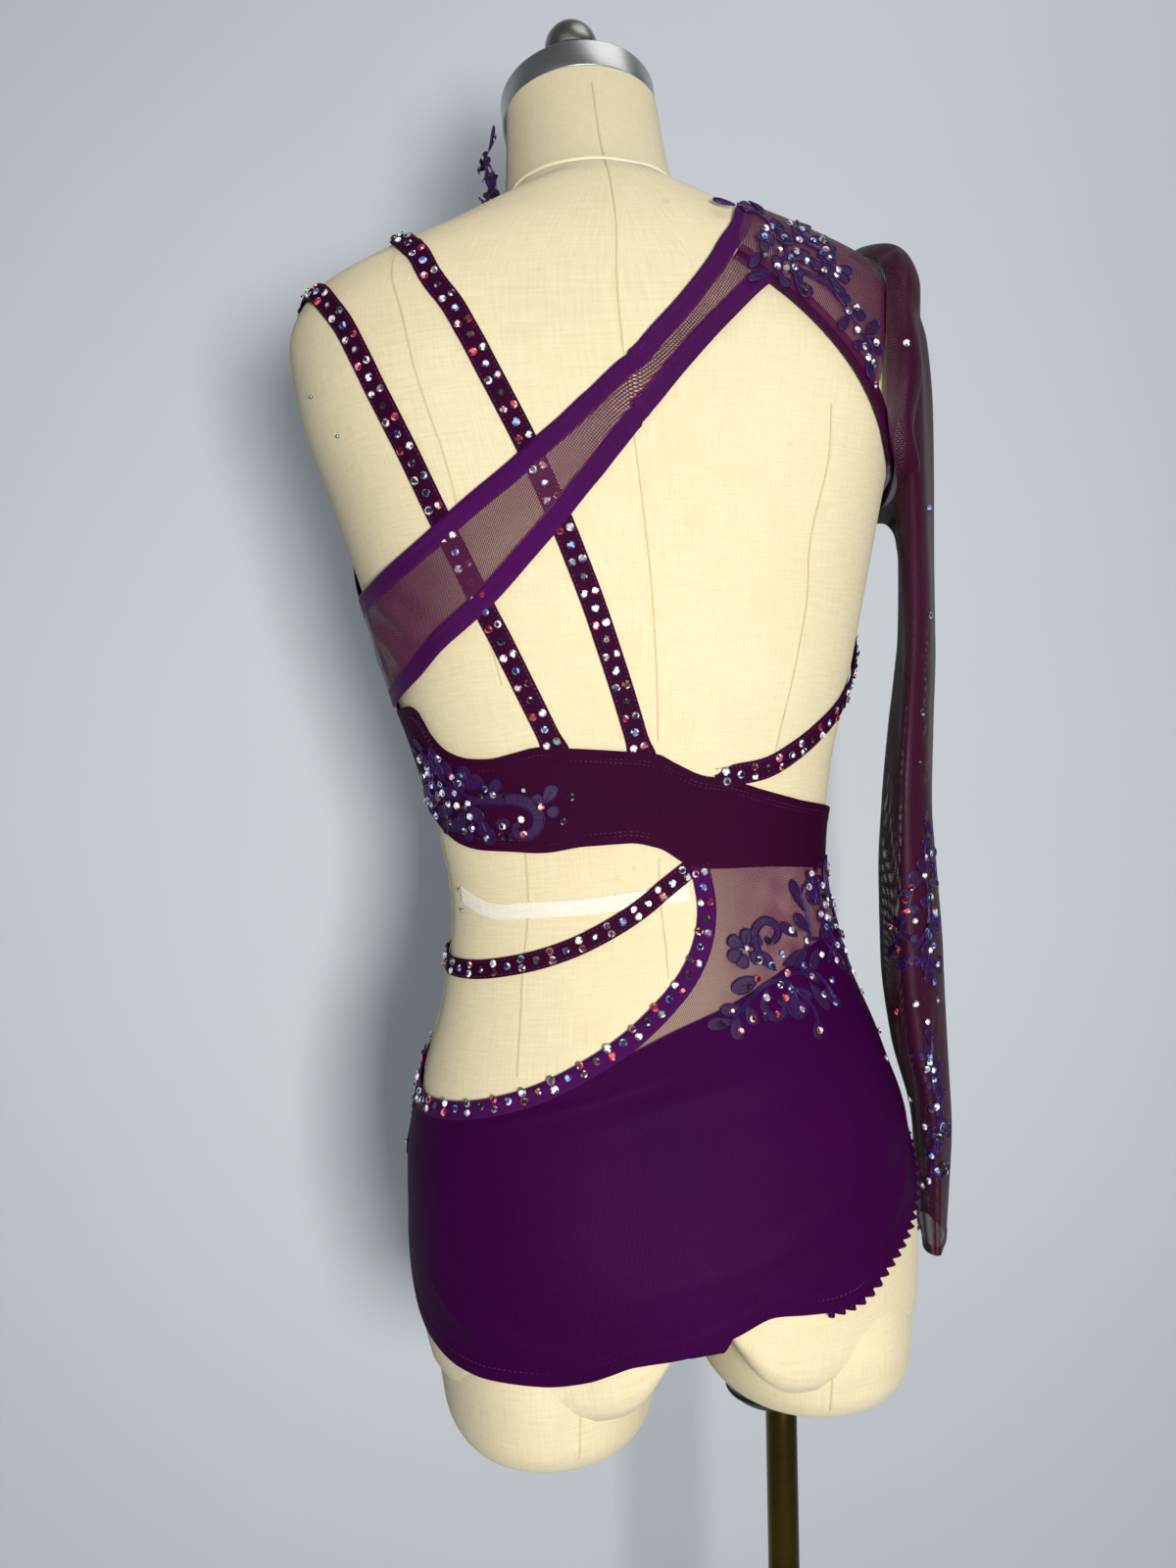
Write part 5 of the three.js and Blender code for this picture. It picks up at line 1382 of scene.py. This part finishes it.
BUST_STONES = [
    (-71.5, 77.9, 3), (-71.3, 71, 2), (-65.1, 65.9, 3), (-58.5, 65.3, 3), (-63.2, 59.4, 3),
    (-58.7, 57.9, 3), (-53.4, 58.6, 2), (-53.5, 74.9, 2), (-45.3, 66.1, 2), (-43, 62.4, 3),
    (-47.8, 62.4, 4), (-53.9, 51.4, 3), (-54.3, 44.7, 2), (-58.4, 43.3, 2), (-49, 38.7, 0),
    (-42.1, 44.7, 3), (-43.2, 39.3, 4), (-35.4, 47.8, 3), (-35.5, 39.5, 1), (-28.8, 54, 1),
    (-32.7, 63.8, 4), (-20, 58.1, 4), (-23.2, 45.1, 4), (-39.1, 61.9, 4), (-40.2, 38.4, 4),
    (-61.2, 85.4, 2), (-72.6, 87.8, 4), (-74.3, 53.2, 2), (-64.7, 49.3, 4)]
SLEEVE_UPPER_LEAVES = [
    (46, 9.5, 61.2, 9.33, 5), (50, 9.59, 67.5, 9.56, 6), (55.7, 9.75, 32, 9.7, 5),
    (60.3, 9.89, 78.3, 9.81, 6.5), (61.1, 10.05, 33.4, 10.1, 5), (76.3, 10.07, 90.6, 9.92, 7),
    (92, 10.21, 108.5, 10.16, 7), (97.7, 10.34, 81.4, 10.39, 7), (107.2, 10.52, 135.6, 10.52, 7),
    (116, 10.62, 99.6, 10.72, 7), (128.9, 10.8, 144, 10.93, 6), (60.8, 10.34, 74, 10.25, 6),
    (60, 10.52, 42.2, 10.61, 5), (80.4, 10.75, 94.4, 10.68, 6), (95.3, 10.88, 87.8, 11.03, 7),
    (103.1, 10.97, 122.1, 11.07, 7), (59.2, 10.77, 75.8, 10.87, 6), (57.7, 10.96, 43.8, 11.08, 5),
    (56.1, 11.14, 72.1, 11.21, 6)]
SLEEVE_LOWER_LEAVES = [
    (64.8, 11.96, 80.7, 11.83, 6), (73.8, 12.14, 85.6, 12.02, 6), (76.1, 12.3, 55.3, 12.27, 5),
    (79, 12.47, 95.9, 12.54, 6.5), (80.3, 12.66, 59.7, 12.78, 5), (82.6, 12.83, 96.3, 12.77, 6.5),
    (86.2, 13.04, 100.9, 13.17, 7), (93.3, 13.25, 79.6, 13.35, 5), (98.1, 13.42, 121, 13.43, 7),
    (106.2, 13.63, 90.9, 13.73, 6), (110, 13.81, 133.4, 13.99, 7)]
SLEEVE_UPPER_STEMS = [
    [(50, 9.45), (53.4, 9.71), (62.4, 9.97), (60.5, 10.29), (60.5, 10.63), (57.8, 10.99), (55.2, 11.31)],
    [(62.4, 9.97), (85.9, 10.11), (98.9, 10.32), (111.4, 10.59), (131.3, 10.82)],
    [(60.2, 10.58), (83.8, 10.79), (106, 10.98)]]
SLEEVE_LOWER_STEMS = [
    [(66.8, 11.93), (76.7, 12.24), (80.8, 12.6), (83.2, 12.97), (96, 13.37), (112.6, 13.83)]]
SLEEVE_UPPER_STONES = [
    (53.4, 9.71, 2), (67.5, 9.97, 3), (90.1, 10.1, 1), (101.2, 10.25, 1), (99.2, 10.38, 1),
    (135.7, 10.59, 1), (86.7, 10.5, 3), (119.2, 10.83, 1), (51.9, 10.41, 3), (62.5, 10.69, 2),
    (48.1, 11.06, 3), (56.8, 11.26, 2), (50.7, 11.49, 3), (93.5, 11.49, 3), (90.8, 0.84, 3),
    (53.1, 5.32, 2), (59.2, 6.75, 3), (70.6, 8, 3), (73.8, 8.64, 4)]
SLEEVE_LOWER_STONES = [
    (131.2, 11.63, 1), (76.6, 11.73, 3), (82.9, 12.23, 3), (76.8, 12.33, 2), (83.6, 12.78, 3),
    (114.4, 13.06, 3), (104.4, 13.45, 2), (115.1, 13.84, 3), (130.6, 13.95, 0), (92.5, 13.66, 2),
    (142.6, 12.76, 0), (190.7, 15.02, 1)]


def spray(place, surface, lift, seed, leaves=(), stems=(), scrolls=(), set_stones=(), tangles=(),
          sprigs=(), broad=5.0):
    """One spray of lace: it stands for the solid lace_PLACE, and its scrolls are this broad."""
    lace = Lace(surface, lift, seed)
    for row in leaves:
        lace.leaf(*row)
    for points in stems:
        lace.stem(points)
    for points in scrolls:
        lace.scroll(points, broad)
    for low, high, count in tangles:
        lace.tangle(low, high, count)
    for points, rows in sprigs:
        lace.sprig(points, rows)
    lace.spots += list(set_stones)
    lace.finish(f"{place}_lace", f"lace_{place}")


spray("hip", on_folds, 2.75, 2, HIP_LEAVES + HIP_FLOWER, HIP_STEMS, HIP_SCROLLS, HIP_STONES,
      [((52, -44), (86, 6), 26), ((84, -60), (89, 10), 8)], broad=4.6)
spray("shoulder", on_form, 5.0, 3, SHOULDER_LEAVES, SHOULDER_STEMS, (), SHOULDER_STONES,
      [((21, 324), (37, 350), 14)])
spray("bust", on_form, 2.8, 4, BUST_LEAVES, BUST_STEMS, BUST_SCROLLS, BUST_STONES,
      [((-86, 52), (-52, 92), 26)], broad=6.5)
spray("sleeve_upper", on_sleeve, 0.8, 5, SLEEVE_UPPER_LEAVES, SLEEVE_UPPER_STEMS, (),
      SLEEVE_UPPER_STONES, [((38, 9.5), (74, 11.2), 14)])
spray("sleeve_lower", on_sleeve, 0.8, 6, SLEEVE_LOWER_LEAVES, SLEEVE_LOWER_STEMS, (),
      SLEEVE_LOWER_STONES, [((58, 12.0), (96, 13.9), 16)])
spray("hip_left", on_folds, 2.75, 7, sprigs=[
    ([(-97, -90), (-98, -112), (-96, -138)],
     [(0.1, 140, 13, 7), (0.5, 60, 14, 8), (0.95, 10, 14, 7), (0.3, -60, 12, 6), (0.7, -50, 12, 6)])])


def on_collar(angle, level, lift=0.0):
    """Stands off the neck and curls, as stiff lace does above the edge that holds it."""
    free = smooth(level, 398, 430)
    curl = np.sin(level / 4.5) + np.sin(angle / 3.0)
    return on_form(angle, level, lift - 1.1 + free * (10 + 3 * curl))


spray("neck", on_collar, 3.4, 8, tangles=[((-122, 402), (-90, 466), 44)], sprigs=[
    ([(-124, 399), (-116, 414), (-106, 438), (-100, 466)],
     [(0.2, 60, 18, 9), (0.4, -60, 18, 9), (0.97, 0, 17, 9), (0.6, 60, 18, 9), (0.15, -50, 16, 8),
      (0.75, -60, 18, 9), (0.88, 60, 16, 8)])])
STRAY_STONES = [(-20, 58.1, 4), (-23.2, 45.1, 4), (76, -74, 3), (76, -98, 3), (68.5, -111.8, 0)]
stones("stray_stones", [stones_at(on_trunk, STRAY_STONES, 2.2)])


# ------------------------------------------------------------------ seams, tape and pins
SEAM_WIDTH, SEAM_THICK = 1.0, 0.25


def seam(name, routes, lift=0.05):
    """Seam lines of the form's cover, slightly puckered."""
    for k, route in enumerate(routes):
        def ripple(u, v, route=route):
            return 0.10 * np.sin(u * route.length / 2.1) + 0.05 * np.sin(u * route.length / 0.9)
        take(strip(route, SEAM_WIDTH, SEAM_THICK, lift, max(20, int(route.length / 1.5)), ripple, 2),
             f"{name}_{k + 1}", SEAM)


seam("form_seam", [Route(on_form, points) for points in (
    [(-39, 345), (-35, 324), (-33, 298), (-31.5, 234), (-32.5, 172), (-31.5, 120)],
    [(-35, 32), (-37, 26), (-38.5, -4), (-40, -42), (-38.5, -92)],
    [(33.5, 262), (35, 232), (32.5, 188), (34, 152), (33, 100), (32, 60)],
    [(0.6, 462), (0.2, 430), (0, 405), (0.2, 392), (0, 360), (-0.4, 300), (0, 200), (0.5, 120),
     (0.6, 84)],
    [(0.2, 20), (0, 0), (0.2, -30), (0, -46)],
    [(180, 455), (180, 400), (180, 330), (180, 260), (180, 222)],
    [(-90, 455), (-90, 400), (-90, 370)], [(-90, 40), (-90, 0), (-90, -60), (-90, -98)])])
THIGH_SEAMS = {"left": [(8, -252), (7, -270), (6, -290)], "right": [(-6, -230), (-6, -255), (-7, -284)]}
seam("thigh_seam", [Route(lifted(thigh_point(*THIGH_BOTTOMS[word]), 0.5, 0.5), points)
                    for word, points in THIGH_SEAMS.items()], 0.1)
neck_route = Route(on_form, [(-90, 404), (-62, 408.5), (-38.3, 400.8), (-18.2, 393.5), (-0.2, 389.9),
                             (14, 389), (32, 396), (60, 405), (90, 402), (120, 392), (150, 384),
                             (180, 380), (210, 384), (240, 392), (270, 404)])
take(strip(neck_route, 2.6, 0.3, 0.0, 240, strap_profile, 6), "neck_seam", PIPING)


TAPE_WIDTH = 8.4


def tape_lay(u, v, up):
    """Ribbed tape with a row of small loops along its top edge."""
    a, b = tape.at(u)
    loops = 0.7 * np.abs(np.sin(u * tape.length / 2.2 * np.pi)) * np.clip((v - 0.85) / 0.15, 0, 1)
    ribs = 0.16 * np.sin(v * 6 * 2 * np.pi)
    return on_form(a, b - TAPE_WIDTH * (1 - v) + loops, 0.25 + ribs + up)


tape = Route(on_form, [(-71, 10), (-53.5, 0.6), (-38, 0), (-19.5, 0.2), (-6, 2), (7.5, 3.4)])
take(laid(tape_lay, 420, 26, 0.35, flat_grain(tape.length, TAPE_WIDTH)), "waist_tape", TAPE)
PINS = np.array([(-70.6, 8.5, 1.6), (-69.8, -3.5, 1.6), (-67.7, 287, 0.9), (-60.7, 262.7, 0.9)])
copies("pins", STITCH, spots(on_form, *PINS.T), 1.1, STEEL, smooth_faces=True)


# ------------------------------------------------------------------ edges that finish the cloth
def cuff_lay(u, v, up):
    return on_sleeve(180 + 360 * u, 14.86 + 0.14 * v, 0.36 + up)


take(laid(cuff_lay, 150, 4, 0.35, flat_grain(330, 6), closed=True), "cuff_hem", SLEEVE_NET)


def lettuce(u, v):
    """The rolled edge's small waves."""
    return (0.9 + 1.3 * v) * np.sin(u * leg_edge.length / 3.4 * np.pi) * v + 0.5


leg_edge = edge_route(lambda a: back_hem(a) - 0.6, 22, 88, on_trunk)
take(strip(leg_edge, 3.4, 0.5, 1.9, 260, lambda u, v: lettuce(u, 1 - v), 6), "leg_edge_right", TRUNK)
# A thin ring round the cup's lower edge, coloured lighter than the cup as a painted highlight.
rim = added(bpy.ops.mesh.primitive_torus_add, major_segments=96, minor_segments=10,
            major_radius=33.6 * MM, minor_radius=0.7 * MM)
rim.data.transform(cup_place @ Matrix.Translation((0, 0, 4.6 * MM)))
shade(rim, 60)
take(rim, "cup_rim", HIGHLIGHT_RIM)


# ------------------------------------------------------------------ floor, wall and light
def stage_finish(name, dark, light, one_sided=False):
    f = Finish(name, Specular_IOR_Level=0.3)
    mottle = f.effect(MOTTLE, Place=f.solid, Scale=1.2, Amount=0.6)
    f.colour(f.mix(f.math("ADD", 0.5, mottle), paint(dark), paint(light)))
    f.rough(f.spread(f.noise(f.solid, 3.0), 0.45, 0.7))
    f.bump(f.noise(f.solid, 320.0, 3), 0.05, 0.4)
    if one_sided:
        clear = f.add("ShaderNodeBsdfTransparent")
        behind = f.add("ShaderNodeNewGeometry", output=6)
        shown = f.add("ShaderNodeMixShader", {0: behind, 1: f.shader.outputs[0], 2: clear})
        f.set(f.tree.nodes["Material Output"].inputs[0], shown)
    return f.material


def stage_plane(name, location, tilt, material):
    plane = added(bpy.ops.mesh.primitive_plane_add, size=STAGE_SIZE, location=location,
                  rotation=(tilt, 0, 0))
    plane.name = name
    plane.data.materials.append(material)


STAGE_SIZE, WALL_Y = 9, -0.43
stage_plane("floor", (0, 0, 0), 0, stage_finish("pale floor", "#b9bfc4", "#ccd1d5"))
stage_plane("wall", (0, WALL_Y, 3), math.radians(-90),
            stage_finish("pale wall", "#ccd2da", "#dbe0e6", True))


def lamp(name, place, aim, size, watts, colour=(1, 1, 1)):
    data = bpy.data.lights.new(name, "AREA")
    data.shape, data.size, data.energy, data.color = "SQUARE", size, watts, colour
    light = linked(name, data)
    light.location = place
    light.rotation_mode = "QUATERNION"
    light.rotation_quaternion = (Vector(aim) - Vector(place)).to_track_quat("-Z", "Y")


lamp("key", (0.02, 1.25, 0.98), (0.06, 0, 1.12), 0.24, 19.5, (1.0, 0.985, 0.95))
lamp("soft_fill", (0.9, 1.6, 1.9), (0.06, 0, 1.1), 1.4, 3, (0.92, 0.96, 1.0))
lamp("top", (-0.5, 0.5, 2.7), (0, 0, 1.2), 1.0, 6)
lamp("front_soft", (0.2, -2.2, 1.6), (0.06, 0, 1.1), 1.6, 5)
world = bpy.data.worlds.new("studio")
world.use_nodes = True
world.node_tree.nodes["Background"].inputs[0].default_value = (0.80, 0.85, 0.92, 1)
world.node_tree.nodes["Background"].inputs[1].default_value = 0.17
bpy.context.scene.world = world
bpy.context.scene.view_settings.view_transform = "Standard"
